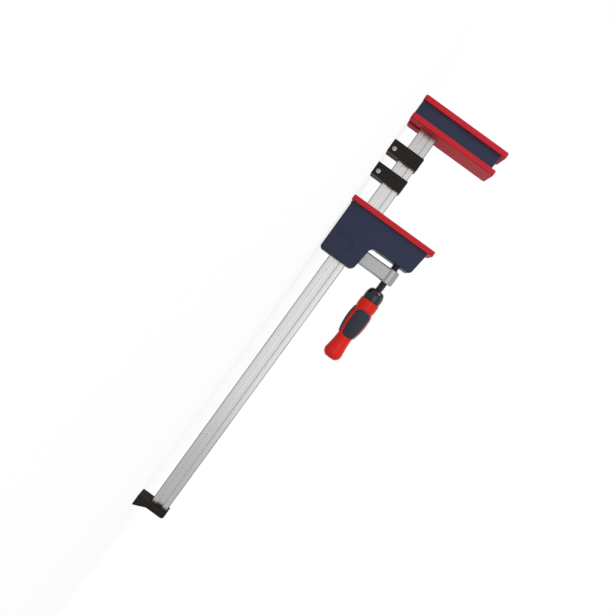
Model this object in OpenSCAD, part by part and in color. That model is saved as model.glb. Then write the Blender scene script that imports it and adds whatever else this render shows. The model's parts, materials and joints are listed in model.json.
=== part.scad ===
// Parallel clamp with a fixed jaw, a sliding jaw, a screw handle and two rail supports.
// X runs along the rail from the fixed jaw to the end cap, Z points from the rail to the jaw tips.
// The clamp lies on the flat backs of its jaws, so the rest plane is z = 0.

/* [Opening] */
// Widest opening, with the sliding jaw down on the end cap
max_opening = 610; // [300:10:1200]
// Opening between the two clamping faces as drawn
opening = 134; // [110:1:250]
// Throat depth, from the rail's front edge to the tips of the jaws
throat = 95; // [85:1:110]

/* [Rail] */
// Width of the rail, from its back edge to its front edge
rail_w = 29; // [27:0.5:32]
// Thickness of the rail across its wide faces
rail_t = 9; // [8:0.5:10]
// Height of the rail's back edge above the rest plane
rail_back = 21.5; // [20:0.5:26]
// Width of the groove along each wide face
groove_w = 10; // [8:0.5:13]
// Depth of the groove in each wide face
groove_d = 1.8; // [1:0.1:2.2]
// Spacing of the bite teeth on the rail's narrow edges
tooth_pitch = 2.5; // [2:0.5:5]
// Depth of the bite teeth
tooth_d = 0.4; // [0.2:0.1:0.6]

/* [Pressure caps] */
// Width of a pressure cap across the clamp
cap_w = 42; // [40:1:48]
// Thickness of a pressure cap, face to lip
cap_t = 8.5; // [7.5:0.5:10]
// Thickness of a cap's pressing face
cap_face_t = 3.5; // [3:0.1:4]
// Wall of a cap beyond the tip of the jaw's flange
cap_tip_wall = 3; // [2:0.5:4]
// Radius of a cap's long corners
cap_r = 4; // [2:0.5:5]

/* [Jaw housings] */
// Width of both jaw housings across the clamp
body_w = 36; // [35:0.5:38]
// Wall of the jaw housings
wall = 3; // [2.5:0.1:3.2]
// Thickness of the jaw's flange that carries a cap
flange_t = 2.5; // [2:0.1:3]
// Depth of the groove behind the flange, each side
lip_d = 2; // [1.5:0.1:2.2]
// Length of the fixed jaw's housing between its two caps
fixed_body_l = 22; // [20:0.5:30]
// How far the housings end short of the cap's tip
tip_step = 7.5; // [6:0.5:10]
// Height of the fixed jaw's housing above the rest plane
fixed_step = 1; // [0.5:0.5:2]
// Height of the sliding housing above the rest plane
housing_step = 2.8; // [1:0.2:4]
// Sliding housing's depth in front of the rail, where it meets the nose
housing_front = 15.5; // [15:0.5:20]
// How far the housing's front slopes back down to its lower end
front_draft = 4; // [1:0.5:4]
// Depth of the sliding jaw's nose, from the clamping face
nose_l = 47; // [44:1:50]
// Draft of the nose's tip
nose_draft = 4; // [1:0.5:5]
// Radius where the nose meets the housing's front
nose_fillet_r = 7; // [4:0.5:9]
// Radius of the nose's tip
nose_tip_r = 5; // [3.5:0.5:7]
// Radius of the housing's lower end at the front
front_end_r = 7.5; // [3.5:0.5:9]
// Radius of the housing's lower end at the back
back_end_r = 4; // [3.5:0.5:6]

/* [Slide arm] */
// Gap left between the nose and the arm with the jaw wound right back
arm_gap_above = 2.6; // [1:0.2:6]
// Gap left below the arm with the jaw wound right up
arm_gap_below = 1.4; // [1:0.2:6]
// Height of the arm along the rail
arm_h = 22; // [18:0.5:23]
// Width of the arm across the clamp
arm_w = 20; // [17:0.5:21]
// Distance from the rail's front edge to the spindle's axis
reach = 62.5; // [55:0.5:68]
// Outside diameter of the arm's eye
eye_d = 22.6; // [21:0.2:26]
// How far the eye stands out of the arm's upper and lower sides
eye_proud = 0.6; // [0.2:0.1:1]
// Radius of the arm's edges at its back
arm_r = 3; // [1:0.5:4]
// Diameter of the hardened bite pins
bite_d = 5; // [3:0.5:6]

/* [Spindle and handle] */
// Outside diameter of the spindle's thread
spindle_d = 12; // [10:0.5:12.5]
// Pitch of the spindle's thread
pitch = 3; // [2:0.5:4]
// Depth of the thread
thread_d = 1.25; // [0.6:0.05:1.5]
// Length of thread between the arm and the handle as drawn
thread_below = 14.9; // [10:0.1:30]
// Length of the navy ferrule
ferrule_l = 20.5; // [16:0.5:24]
// Diameter of the ferrule
ferrule_d = 29; // [26:0.5:31]
// Length of the red collar
collar_l = 15; // [12:0.5:18]
// Diameter of the collar
collar_d = 31; // [30:0.5:33]
// Length of the grip
grip_l = 50; // [45:1:60]
// Largest diameter of the grip
grip_d = 35; // [34:0.5:38]
// Length of the red end of the handle
tail_l = 39.5; // [35:0.5:45]
// Diameter of the handle's flared end
tail_d = 29.8; // [28:0.2:32]
// Diameter of the neck between grip and flared end
neck_d = 24; // [22:0.5:26]
// Diameter of the flat around the socket, at the very end of the handle
tail_end_d = 19; // [17:0.5:22]
// Width of a soft panel of the grip
panel_w = 23; // [18:0.5:25]
// Smallest width of the red rib between two soft panels
rib_w = 5; // [4:0.5:8]
// Size across flats of the hexagon socket in the handle's end
hex_af = 8; // [6:0.5:10]

/* [Rail supports] */
// Length of a rail support along the rail
support_l = 20; // [18:0.5:26]
// Width of a rail support across the clamp
support_w = 24; // [22:0.5:30]
// Distance from the fixed clamping face to the first support
support_from_face = 34.5; // [30:0.5:40]
// Gap between the two supports
support_gap = 19.5; // [16:0.5:22]
// Wall of a support in front of the rail
support_wall = 1.8; // [1.5:0.1:3]

/* [End cap] */
// Thickness of the end cap along the rail
end_t = 11; // [10:0.5:16]
// Width of the end cap across the clamp
end_w = 22; // [18:1:30]
// How far the end cap's foot reaches past the cap
foot_l = 8.5; // [4:0.5:12]
// Height of the wedge-shaped foot where it meets the cap's end
foot_h = 21; // [8:1:26]
// Wall of the end cap in front of the rail
end_wall = 2.5; // [2:0.5:4]

/* [Pins and screws] */
// Diameter of the pins that hold the fixed jaw on the rail
rail_pin_d = 6; // [4:0.5:7]
// Diameter of the small cross pins
small_pin_d = 3; // [2:0.5:3.5]
// Shank diameter of the housing and support screws
screw_d = 4; // [3:0.5:4.5]

/* [Fits] */
// Clearance between the rail and whatever slides on it
slide_gap = 0.3; // [0.2:0.05:0.5]
// Clearance between a cap and its flange, and between seated pieces
slip = 0.2; // [0.1:0.05:0.25]
// Clearance of the spindle in the nut and the thrust cup, on the radius
running = 0.05; // [0.02:0.01:0.09]
// Clearance between the arm and the jaw's core, at each side and behind it
arm_side_gap = 0.8; // [0.6:0.1:1.2]

/* [Hidden] */
$fn = 64;

navy = [0.15, 0.16, 0.26];
cap_red = [0.60, 0.14, 0.16];
handle_red = [0.78, 0.12, 0.10];
soft_navy = [0.12, 0.12, 0.18];
steel = [0.75, 0.76, 0.77];
forged = [0.66, 0.67, 0.68];
black = [0.10, 0.10, 0.10];
bronze = [0.65, 0.52, 0.30];

// Travel of the jaw on its spindle, each way from the drawn place
stroke = 2 * pitch;

// Lengths of the sliding jaw and its drive, from the clamping face
lower_guide_l = 4;
arm_drop = nose_l + stroke + arm_gap_above;
housing_l = arm_drop + arm_h + stroke + arm_gap_below + lower_guide_l + wall;
handle_drop = arm_drop + arm_h + thread_below;

// Places along Z
rail_front = rail_back + rail_w;
rail_mid = rail_back + rail_w / 2;
jaw_h = rail_front + throat;
body_tip = jaw_h - tip_step;
flange_tip = jaw_h - cap_tip_wall - slip;
spindle_z = rail_front + reach;
housing_z = rail_front + housing_front;

// Places along X
fixed_jaw_l = fixed_body_l + 2 * cap_t;
end_stop = fixed_jaw_l + max_opening + housing_l;
overall_l = end_stop + end_t + foot_l;
x_rear = -overall_l / 2;
x_fixed = x_rear + fixed_jaw_l;
x_jaw = x_fixed + opening;
x_end = x_rear + end_stop;

// End cap
end_face_t = 3;
rail_end = x_end + end_t - end_face_t;
end_pin_x = x_end + (end_t - end_face_t) / 2;

// Jaw housings and caps
flange_x = cap_face_t + slip / 2;
neck_w = body_w - 2 * lip_d;
cavity_w = neck_w - 2;
fixed_cavity_w = neck_w - 2 * wall;
flange_r = 2;
rail_slot_w = rail_t + 4 * slide_gap;
rail_start = x_rear + flange_x + wall + 2;

// Rail windows
window_w = rail_t + 2 * slide_gap;
window_z = rail_back - slide_gap;
window_h = rail_w + 2 * slide_gap;

// Sliding jaw's core
core_w = cavity_w - 2 * slip;
cheek_gap_w = arm_w + 2 * arm_side_gap;
core_x = cap_t + wall + 0.5;
core_back = housing_step + wall + slip;
core_back_t = 5;
core_front = housing_z - front_draft - wall - 1;
core_tip = body_tip - wall - nose_draft - 3;
core_slope_l = 12;
core_slope_h = 30;
guide_l = 8;
guide_wall = 3.5;
core_end = housing_l - wall - lower_guide_l - slip;
nose_inner = nose_l - wall;
web_l = 16;
web_h = 34;
web_rib = 5;
arm_back = core_back + core_back_t + 2 * arm_side_gap;

// Spindle and its bearing in the jaw
thrust_d = 8;
thrust_l = 8;
cup_d = 16;
cup_floor = 4;
cup_x = nose_inner - slip - thrust_l - cup_floor;
ring_x = nose_inner - thrust_l / 2 - 1;
ring_t = 1;
ring_d = 9.6;
ring_groove_d = 6.6;
nut_d = 17;
nut_flange_d = eye_d - 2;
nut_flange_t = 1.5;
shank_d = 9;
shank_end = 60;

// Handle, measured from the clamping face
x_ferrule = handle_drop;
x_collar = x_ferrule + ferrule_l;
x_grip = x_collar + collar_l;
x_tail = x_grip + grip_l;
x_tip = x_tail + tail_l;
panel_proud = 0.8;
panel_t = 2.6;
panel_r = panel_w / 2 - 2.5;
panel_inset = 1.2;
panel_turn = -12;
flare_at = 0.75;
socket_d = 14;
socket_l = 14;

// Brake in the arm
brake_d = 8;
brake_l = 6;
brake_spring_l = 8;

// Screws
screw_head_d = 1.8 * screw_d;
screw_head_t = 0.55 * screw_d;
screw_inset = 13;
fixed_screw_gap = 12;

// Outline helpers

// The corner waste of a square corner at the origin, with the material in the first quadrant
module corner_waste(r) {
    difference() {
        translate([-1, -1]) square(r + 1);
        translate([r, r]) circle(r);
    }
}

function unit(v) = v / norm(v);

// The points of an outline whose corners are given as [x, y, radius], with each corner rounded
function rounded(corners, steps = 8) = let (n = len(corners)) [
    for (i = [0:n - 1])
        let (
            here = [corners[i].x, corners[i].y],
            r = corners[i].z,
            back = unit([corners[(i + n - 1) % n].x, corners[(i + n - 1) % n].y] - here),
            ahead = unit([corners[(i + 1) % n].x, corners[(i + 1) % n].y] - here),
            half = acos(back * ahead) / 2,
            inward = unit(back + ahead),
            turn = sign(cross(back, ahead)) * (90 - half),
            middle = atan2(-inward.y, -inward.x)
        )
        for (k = [0:r > 0 ? steps : 0])
            let (a = middle + turn * (1 - 2 * k / steps))
            r > 0 ? here + inward * r / sin(half) + r * [cos(a), sin(a)] : here
];

// A rectangle with the four corners rounded to r
module round_rect(x0, y0, x1, y1, r) {
    difference() {
        translate([x0, y0]) square([x1 - x0, y1 - y0]);
        translate([x0, y0]) corner_waste(r);
        translate([x1, y0]) mirror([1, 0]) corner_waste(r);
        translate([x0, y1]) mirror([0, 1]) corner_waste(r);
        translate([x1, y1]) rotate(180) corner_waste(r);
    }
}

// Extrudes an outline drawn in X and Z across the clamp, centred on its middle plane
module across(w) {
    rotate([90, 0, 0]) linear_extrude(w, center = true) children();
}

// Extrudes an outline drawn in Y and Z along the rail
module along(x0, l) {
    translate([x0, 0, 0]) rotate([90, 0, 90]) linear_extrude(l) children();
}

// A plate with its long corners rounded, centred across the clamp
module plate(x0, x1, w, z0, z1, r) {
    along(x0, x1 - x0) round_rect(-w / 2, z0, w / 2, z1, r);
}

// A block centred across the clamp
module block(x0, x1, w, z0, z1) {
    translate([x0, -w / 2, z0]) cube([x1 - x0, w, z1 - z0]);
}

// A cylinder along the rail
module rod(x0, x1, d, z) {
    translate([x0, 0, z]) rotate([0, 90, 0]) cylinder(d = d, h = x1 - x0);
}

// A cylinder across the clamp
module cross_rod(x, z, d, w) {
    translate([x, 0, z]) rotate([90, 0, 0]) cylinder(d = d, h = w, center = true);
}

// A solid turned about the spindle's axis from an outline of distance along X against radius
module turned(outline) {
    translate([0, 0, spindle_z]) rotate([0, 90, 0]) rotate_extrude() polygon([for (p = outline) [p[1], p[0]]]);
}

// The space that the rail needs in anything that slides on it
module rail_window(x0, x1) {
    block(x0, x1, window_w, window_z, window_z + window_h);
}

// The slot, open at the back, that lets a cap or a flange pass over the rail
module rail_slot(x0, x1) {
    block(x0, x1, rail_slot_w, -1, rail_front + 2 * slide_gap);
}

// Rail

function tooth_count() = floor((rail_end - rail_start) / tooth_pitch);

function tooth_row(z, sign, n) = [
    for (i = [0:n - 1]) each [
        [rail_start + (i + 0.25) * tooth_pitch, z],
        [rail_start + (i + 0.75) * tooth_pitch, z - sign * tooth_d]
    ]
];

module rail() {
    n = tooth_count();
    back = tooth_row(rail_back, -1, n);
    front = tooth_row(rail_front, 1, n);
    color(steel) difference() {
        across(rail_t) polygon(concat(
            [[rail_start, rail_back]], back, [[rail_end, rail_back], [rail_end, rail_front]],
            [for (i = [len(front) - 1:-1:0]) front[i]], [[rail_start, rail_front]]
        ));
        for (side = [-1, 1])
            translate([rail_start - 1, side * (rail_t / 2 - groove_d / 2 + 0.5) - groove_d / 2 - 0.5,
                rail_mid - groove_w / 2])
                cube([rail_end - rail_start + 2, groove_d + 1, groove_w]);
        for (x = rail_pin_places()) cross_rod(x, rail_mid, rail_pin_d + 2 * running, rail_t + 2);
        cross_rod(end_pin_x, rail_mid, small_pin_d + 2 * running, rail_t + 2);
    }
}

function rail_pin_places() = [x_rear + fixed_jaw_l / 2 - rail_pin_d, x_rear + fixed_jaw_l / 2 + rail_pin_d];

module rail_pins() {
    color(steel) for (x = rail_pin_places())
        cross_rod(x, rail_mid, rail_pin_d, fixed_cavity_w - 2 * slip - 1);
}

// Fixed jaw

// Neck and flange on one end of a jaw housing, with the flange's face at x = 0
module flange(step) {
    plate(0, flange_t, body_w, step, flange_tip, flange_r);
    block(0, cap_t - flange_x + slip, neck_w, step, body_tip - lip_d);
}

// A pressure cap with its pressing face at x = 0, open at the back so that it slides on over the flange
module pressure_cap(rail_passes) {
    color(cap_red) difference() {
        plate(0, cap_t, cap_w, 0, jaw_h, cap_r);
        block(cap_face_t, cap_face_t + flange_t + 2 * slip, body_w + 2 * slip, -1, flange_tip + slip);
        block(cap_face_t, cap_t + 1, neck_w + 2 * slip, -1, body_tip - lip_d + slip);
        if (rail_passes) rail_slot(-1, cap_t + 1);
    }
}

module fixed_jaw_core() {
    x0 = x_rear + flange_x + wall;
    x1 = x_fixed - flange_x - wall;
    w = fixed_cavity_w - 2 * slip;
    margin = 8;
    z0 = rail_back - margin;
    z1 = body_tip - wall - 1;
    web = 5;
    rib = 4;
    block_end = rail_front + margin;
    color(forged) difference() {
        across(w) polygon([
            [x0, z0], [x1 - slip, z0], [x1 - slip, z1], [x0 + margin, z1], [x0, z1 - margin]
        ]);
        block(rail_start - slip, x1 + 1, rail_t + slip, rail_back - slip / 2, rail_front + slip / 2);
        for (side = [-1, 1])
            translate([x0 + rib, side > 0 ? web / 2 : -w / 2 - 1, block_end])
                cube([x1 - x0 - 2 * rib - slip, (w - web) / 2 + 1, z1 - block_end - margin - 2]);
        for (x = rail_pin_places()) cross_rod(x, rail_mid, rail_pin_d + 2 * running, w + 2);
        for (x = fixed_screw_places()) screw_hole(x, fixed_step, z0 + margin);
    }
}

function fixed_screw_places() = [for (side = [-1, 1]) x_rear + fixed_jaw_l / 2 + side * fixed_screw_gap / 2];

// A countersunk screw along Z with its head at z0, and the hole that it needs
module back_screw(x, z0, z1) {
    translate([x, 0, z0]) {
        cylinder(d1 = screw_head_d, d2 = screw_d, h = screw_head_t);
        cylinder(d = screw_d, h = z1 - z0);
    }
}

module screw_hole(x, z0, z1) {
    translate([x, 0, z0]) {
        translate([0, 0, -1]) cylinder(d = screw_head_d + 2 * slip, h = 1 + slip);
        translate([0, 0, slip]) cylinder(d1 = screw_head_d + 2 * slip, d2 = screw_d + 2 * running, h = screw_head_t);
        cylinder(d = screw_d + 2 * running, h = z1 - z0);
    }
}

module fixed_jaw_housing() {
    x0 = x_rear + flange_x;
    x1 = x_fixed - flange_x;
    color(navy) difference() {
        union() {
            block(x_rear + cap_t + slip / 2, x_fixed - cap_t - slip / 2, body_w, fixed_step, body_tip);
            translate([x0, 0, 0]) flange(fixed_step);
            translate([x1, 0, 0]) mirror([1, 0, 0]) flange(fixed_step);
        }
        block(x0 - 1, x1 - wall, fixed_cavity_w, fixed_step + wall, body_tip - wall);
        block(x1 - wall - 1, x1 + 1, rail_slot_w, fixed_step - 1, rail_front + 2 * slide_gap);
        for (x = fixed_screw_places()) screw_hole(x, fixed_step, fixed_step + wall + 1);
    }
}

module fixed_jaw_screws() {
    color(steel) for (x = fixed_screw_places()) back_screw(x, fixed_step + slip, rail_back - 2);
}

module fixed_jaw_front_cap() {
    translate([x_fixed, 0, 0]) mirror([1, 0, 0]) pressure_cap(true);
}

module fixed_jaw_rear_cap() {
    translate([x_rear, 0, 0]) pressure_cap(false);
}

// End cap

module end_cap() {
    top = rail_front + end_wall;
    x_out = x_end + end_t;
    color(black) difference() {
        across(end_w) difference() {
            polygon([
                [x_end, 0], [x_out + foot_l, 0], [x_out + foot_l, 2], [x_out, foot_h], [x_out, top], [x_end, top]
            ]);
            translate([x_out, top]) rotate(180) corner_waste(5);
        }
        block(x_end - 1, rail_end + slip, rail_t + 2 * slip, rail_back - slip, rail_front + slip);
        cross_rod(end_pin_x, rail_mid, small_pin_d + 2 * running, end_w + 2);
        for (side = [-1, 1]) translate([x_end - 1, side * end_w / 2, 0]) rotate([45, 0, 0])
            translate([0, -1, -1]) cube([end_t + foot_l + 2, 2, 2]);
    }
}

module end_cap_pin() {
    color(black) cross_rod(end_pin_x, rail_mid, small_pin_d, end_w - 2);
}

// Slide arm

module slide_arm() {
    x0 = x_jaw + arm_drop;
    x1 = x0 + arm_h;
    color(forged) difference() {
        union() {
            across(arm_w) difference() {
                translate([x0, arm_back]) square([arm_h, spindle_z - arm_back]);
                translate([x0, arm_back]) corner_waste(arm_r);
                translate([x1, arm_back]) mirror([1, 0]) corner_waste(arm_r);
            }
            rod(x0 - eye_proud, x1 + eye_proud, eye_d, spindle_z);
        }
        rail_window(x0 - 1, x1 + 1);
        rod(x0 - 2, x1 + 2, nut_d + 2 * running, spindle_z);
        rod(x1 + eye_proud - nut_flange_t, x1 + 2, nut_flange_d + 2 * slip, spindle_z);
        for (p = bite_places()) cross_rod(p[0], p[1], bite_d + 2 * running, arm_w + 2);
        translate([x0 + arm_h / 2, 0, rail_front - 1]) cylinder(d = brake_d + 2 * slip, h = brake_l + brake_spring_l + 1);
    }
}

// Bite pins: one in front of the rail at the arm's lower side, one behind it at the upper side
function bite_places() = [
    [x_jaw + arm_drop + arm_h - bite_d / 2 - 2, rail_front + bite_d / 2 + slide_gap / 2],
    [x_jaw + arm_drop + bite_d / 2 + 2, rail_back - bite_d / 2 - slide_gap / 2]
];

module bite_pins() {
    color(steel) for (p = bite_places()) cross_rod(p[0], p[1], bite_d, arm_w - 1);
}

module spindle_nut() {
    x0 = x_jaw + arm_drop - eye_proud;
    x1 = x0 + arm_h + 2 * eye_proud;
    color(bronze) difference() {
        union() {
            rod(x0, x1, nut_d, spindle_z);
            rod(x1 - nut_flange_t + slip, x1 + slip, nut_flange_d, spindle_z);
        }
        rod(x0 - 1, x1 + 1, spindle_d + 2 * running, spindle_z);
    }
}

module brake_shoe() {
    color(black) translate([x_jaw + arm_drop + arm_h / 2, 0, rail_front + slide_gap / 3])
        cylinder(d = brake_d, h = brake_l);
}

// A short coil spring, as one tube that climbs in a helix with flat ends
module brake_spring() {
    wire = 1;
    coil_d = brake_d - wire - 1.4;
    turns = 4;
    per_turn = 12;
    rise = brake_spring_l - slip - slide_gap - wire;
    z0 = rail_front + slide_gap / 3 + brake_l + wire / 2;
    sides = 6;
    rings = turns * per_turn;
    points = [
        for (i = [0:rings]) let (a = 360 * i / per_turn, z = rise * i / rings)
            for (k = [0:sides - 1]) let (b = 360 * k / sides, r = coil_d / 2 + wire / 2 * cos(b))
                [r * cos(a), r * sin(a), z + wire / 2 * sin(b)]
    ];
    faces = concat(
        [[for (k = [0:sides - 1]) k]],
        [
            for (i = [0:rings - 1]) for (k = [0:sides - 1]) let (n = (k + 1) % sides)
                each [
                    [i * sides + n, i * sides + k, (i + 1) * sides + k],
                    [i * sides + n, (i + 1) * sides + k, (i + 1) * sides + n]
                ]
        ],
        [[for (k = [sides - 1:-1:0]) rings * sides + k]]
    );
    color(steel) translate([x_jaw + arm_drop + arm_h / 2, 0, z0]) polyhedron(points, faces);
}

// Sliding jaw, in modules that take x = 0 as the clamping face

// Side outline of the housing below the cap, or of its hollow when it is drawn in by d
module housing_outline(d, x0) {
    polygon(rounded([
        [x0, housing_step + d, 0],
        [housing_l - d, housing_step + d, back_end_r - d],
        [housing_l - d, housing_z - front_draft - d, front_end_r - d],
        [nose_l - d, housing_z - d, nose_fillet_r + d],
        [nose_l - d, body_tip - nose_draft - d, nose_tip_r - d],
        [x0, body_tip - d, 0]
    ]));
}

module sliding_jaw_housing() {
    arm_gap = stroke + slip + slide_gap;
    color(navy) translate([x_jaw, 0, 0]) difference() {
        union() {
            across(body_w) housing_outline(0, cap_t + slip / 2);
            translate([flange_x, 0, 0]) flange(housing_step);
        }
        across(cavity_w) housing_outline(wall, flange_x - 1);
        block(arm_drop - arm_gap, arm_drop + arm_h + arm_gap, arm_w + 2 * slide_gap, core_front,
            housing_z + nose_fillet_r + 1);
        rod(nose_l - wall - 1, nose_l + 1, spindle_d + 1.5, spindle_z);
        block(housing_l - wall - 1, housing_l + 1, rail_slot_w, rail_back - 2 * slide_gap, rail_front + 2 * slide_gap);
        for (x = sliding_screw_places()) screw_hole(x, housing_step, core_back + 1);
    }
}

function sliding_screw_places() = [core_x + screw_inset, core_end - screw_inset];

module sliding_jaw_screws() {
    color(steel) translate([x_jaw, 0, 0]) for (x = sliding_screw_places())
        back_screw(x, housing_step + slip, core_back + core_back_t);
}

module sliding_jaw_core() {
    color(forged) translate([x_jaw, 0, 0]) difference() {
        across(core_w) polygon([
            [core_x, core_back], [core_end, core_back], [core_end, core_front], [nose_inner - slip, core_front],
            [nose_inner - slip, core_tip], [core_x + core_slope_l, core_tip], [core_x, core_tip - core_slope_h]
        ]);
        block(core_x - 1, core_end + 1, cheek_gap_w, core_back + core_back_t, housing_z + 4);
        block(core_x - 1, nose_inner - slip - web_l, cheek_gap_w, housing_z + 3, core_tip + 1);
        block(core_x - 1, nose_inner - slip - web_rib, cheek_gap_w, housing_z + 3, core_tip - web_h);
        block(core_x + 2 * guide_l, core_end - guide_l, core_w + 2, rail_back + wall, rail_front - wall);
        rod(cup_x, nose_inner + 1, cup_d + 2 * running, spindle_z);
        for (x = sliding_screw_places()) screw_hole(x, housing_step, core_back + core_back_t + 1);
    }
}

module sliding_jaw_cap() {
    translate([x_jaw, 0, 0]) pressure_cap(true);
}

// A block around the rail that guides the jaw
module rail_guide(x0, l, w, z0, z1) {
    difference() {
        block(x0, x0 + l, w, z0, z1);
        rail_window(x0 - 1, x0 + l + 1);
    }
}

module upper_rail_guide() {
    color(black) translate([x_jaw, 0, 0])
        rail_guide(core_x, guide_l, cheek_gap_w - slip, core_back + core_back_t + slip, core_front);
}

module lower_rail_guide() {
    color(black) translate([x_jaw, 0, 0])
        rail_guide(core_end + slip / 2, lower_guide_l, cavity_w - 2 * slip, core_back + back_end_r - wall,
            rail_front + slide_gap + guide_wall);
}

module thrust_cup() {
    color(steel) translate([x_jaw, 0, 0]) difference() {
        rod(cup_x, nose_inner - slip, cup_d, spindle_z);
        rod(cup_x + cup_floor, nose_inner + 1, thrust_d + 2 * running, spindle_z);
        rod(ring_x - slip, ring_x + ring_t + slip, ring_d + 2 * slip, spindle_z);
    }
}

// Spindle and handle

// Outline of the threaded length, as radius against distance from x0
function thread_outline(x0, x1) = let (r = spindle_d / 2, n = floor((x1 - x0) / pitch)) [
    for (i = [0:n - 1]) each [
        [x0 + (i + 0.15) * pitch, r - thread_d], [x0 + (i + 0.35) * pitch, r],
        [x0 + (i + 0.65) * pitch, r], [x0 + (i + 0.85) * pitch, r - thread_d]
    ]
];

module spindle() {
    tip = cup_x + cup_floor + slip;
    shoulder = nose_inner + slip;
    thread_end = x_ferrule - 1;
    core_r = spindle_d / 2 - thread_d;
    color(black) translate([x_jaw, 0, 0]) difference() {
        turned(concat(
        [
            [tip, 0], [tip, thrust_d / 2], [ring_x - 0.1, thrust_d / 2], [ring_x - 0.1, ring_groove_d / 2],
            [ring_x + ring_t + 0.1, ring_groove_d / 2], [ring_x + ring_t + 0.1, thrust_d / 2],
            [shoulder, thrust_d / 2], [shoulder, core_r]
        ],
        thread_outline(shoulder, thread_end),
        [[thread_end, core_r], [x_ferrule + 4, core_r], [x_ferrule + 4, shank_d / 2],
            [x_collar + shank_end, shank_d / 2], [x_collar + shank_end, 0]]
        ));
        handle_pin_hole();
    }
}

module retaining_ring() {
    color(steel) translate([x_jaw, 0, 0]) difference() {
        rod(ring_x, ring_x + ring_t, ring_d, spindle_z);
        rod(ring_x - 1, ring_x + ring_t + 1, ring_groove_d + 0.1, spindle_z);
        translate([ring_x - 1, -2, spindle_z]) cube([ring_t + 2, 4, ring_d]);
    }
}

// Radius of the ferrule at a distance t, from 0 at its top to 1 at its lower end
function dome(t) = spindle_d / 2 + 1.5 + (ferrule_d / 2 - spindle_d / 2 - 1.5) * sqrt(1 - pow(1 - min(1, 1.6 * t), 2));

module handle_ferrule() {
    steps = 12;
    bore = spindle_d / 2 - thread_d + running;
    color(soft_navy) translate([x_jaw, 0, 0]) turned(concat(
        [[x_ferrule, bore]],
        [for (i = [0:steps]) [x_ferrule + ferrule_l * i / steps, dome(i / steps)]],
        [[x_collar, bore]]
    ));
}

// Radius of the grip, without its panels, at a distance x from the clamping face
function grip_radius(x) = let (t = (x - x_grip) / grip_l - 0.4)
    (grip_d / 2 - panel_proud) - (grip_d / 2 - panel_proud - neck_d / 2) * pow(t / 0.6, 2);

// Radius of the handle's red end
function tail_radius(x) = let (t = (x - x_tail) / tail_l, rounding = 1 - pow(tail_end_d / tail_d, 2))
    t < flare_at ? neck_d / 2 + (tail_d - neck_d) / 2 * pow(t / flare_at, 1.6)
        : tail_d / 2 * sqrt(1 - rounding * pow((t - flare_at) / (1 - flare_at), 2));

// The three panel-shaped pieces of a turned outline, with ribs left between them
module panel_cut(grow) {
    half_l = grip_l / 2 - panel_inset + grow;
    half_w = panel_w / 2 + grow;
    rib = rib_w - 2 * grow;
    translate([x_grip + grip_l / 2, 0, spindle_z]) rotate([panel_turn, 0, 0]) difference() {
        for (i = [0:2]) rotate([i * 120, 0, 0])
            translate([0, -grip_d / 6, 0]) rotate([90, 0, 0]) linear_extrude(grip_d)
                round_rect(-half_l, -half_w, half_l, half_w, panel_r + grow);
        for (i = [0:2]) rotate([i * 120, 0, 0])
            translate([-grip_l, 0, -rib / 2]) cube([2 * grip_l, grip_d, rib]);
    }
}

function grip_outline(from, to, offset, steps) = [
    for (i = [0:steps]) let (x = from + (to - from) * i / steps) [x, grip_radius(x) + offset]
];

module handle_core() {
    steps = 14;
    bore = shank_d / 2 + running;
    color(handle_red) translate([x_jaw, 0, 0]) difference() {
        turned(concat(
            [[x_collar, bore], [x_collar, collar_d / 2 - 1], [x_collar + 1, collar_d / 2], [x_grip - 1, collar_d / 2],
                [x_grip - 1, grip_radius(x_grip)]],
            grip_outline(x_grip, x_tail, 0, steps),
            [for (i = [1:steps]) let (x = x_tail + tail_l * i / steps) [x, tail_radius(x)]],
            [[x_tip, socket_d / 2 + running], [x_tip - socket_l, socket_d / 2 + running], [x_tip - socket_l, bore]]
        ));
        difference() {
            panel_cut(slip);
            turned(concat([[x_grip - 5, 0]], grip_outline(x_grip - 5, x_tail + 5, -panel_t + panel_proud, steps),
                [[x_tail + 5, 0]]));
        }
        handle_pin_hole();
    }
}

// A rod across the collar, in the clamp's middle plane
module collar_rod(d, h) {
    translate([x_collar + collar_l / 2, 0, spindle_z]) cylinder(d = d, h = h, center = true);
}

// The hole for the pin, right through collar and spindle
module handle_pin_hole() {
    collar_rod(small_pin_d + 2 * running, collar_d + 4);
}

module handle_grip_panels() {
    steps = 10;
    color(soft_navy) translate([x_jaw, 0, 0]) intersection() {
        panel_cut(0);
        turned(concat(
            grip_outline(x_grip, x_tail, panel_proud, steps),
            grip_outline(x_tail, x_grip, panel_proud + running - panel_t, steps)
        ));
    }
}

module hex_drive_socket() {
    color(steel) translate([x_jaw, 0, 0]) difference() {
        rod(x_tip - socket_l, x_tip - 0.5, socket_d, spindle_z);
        translate([x_tip - socket_l + 3, 0, spindle_z]) rotate([0, 90, 0])
            cylinder(d = hex_af / cos(30), h = socket_l, $fn = 6);
    }
}

module handle_pin() {
    color(black) translate([x_jaw, 0, 0]) collar_rod(small_pin_d, collar_d - 2);
}

// Rail supports

function support_x(i) = x_fixed + support_from_face + i * (support_l + support_gap);

support_screw_z = 7.5;
support_screw_x = 0.62 * support_l;
leaf_t = 0.8;
pinch_w = 1.2;

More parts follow.
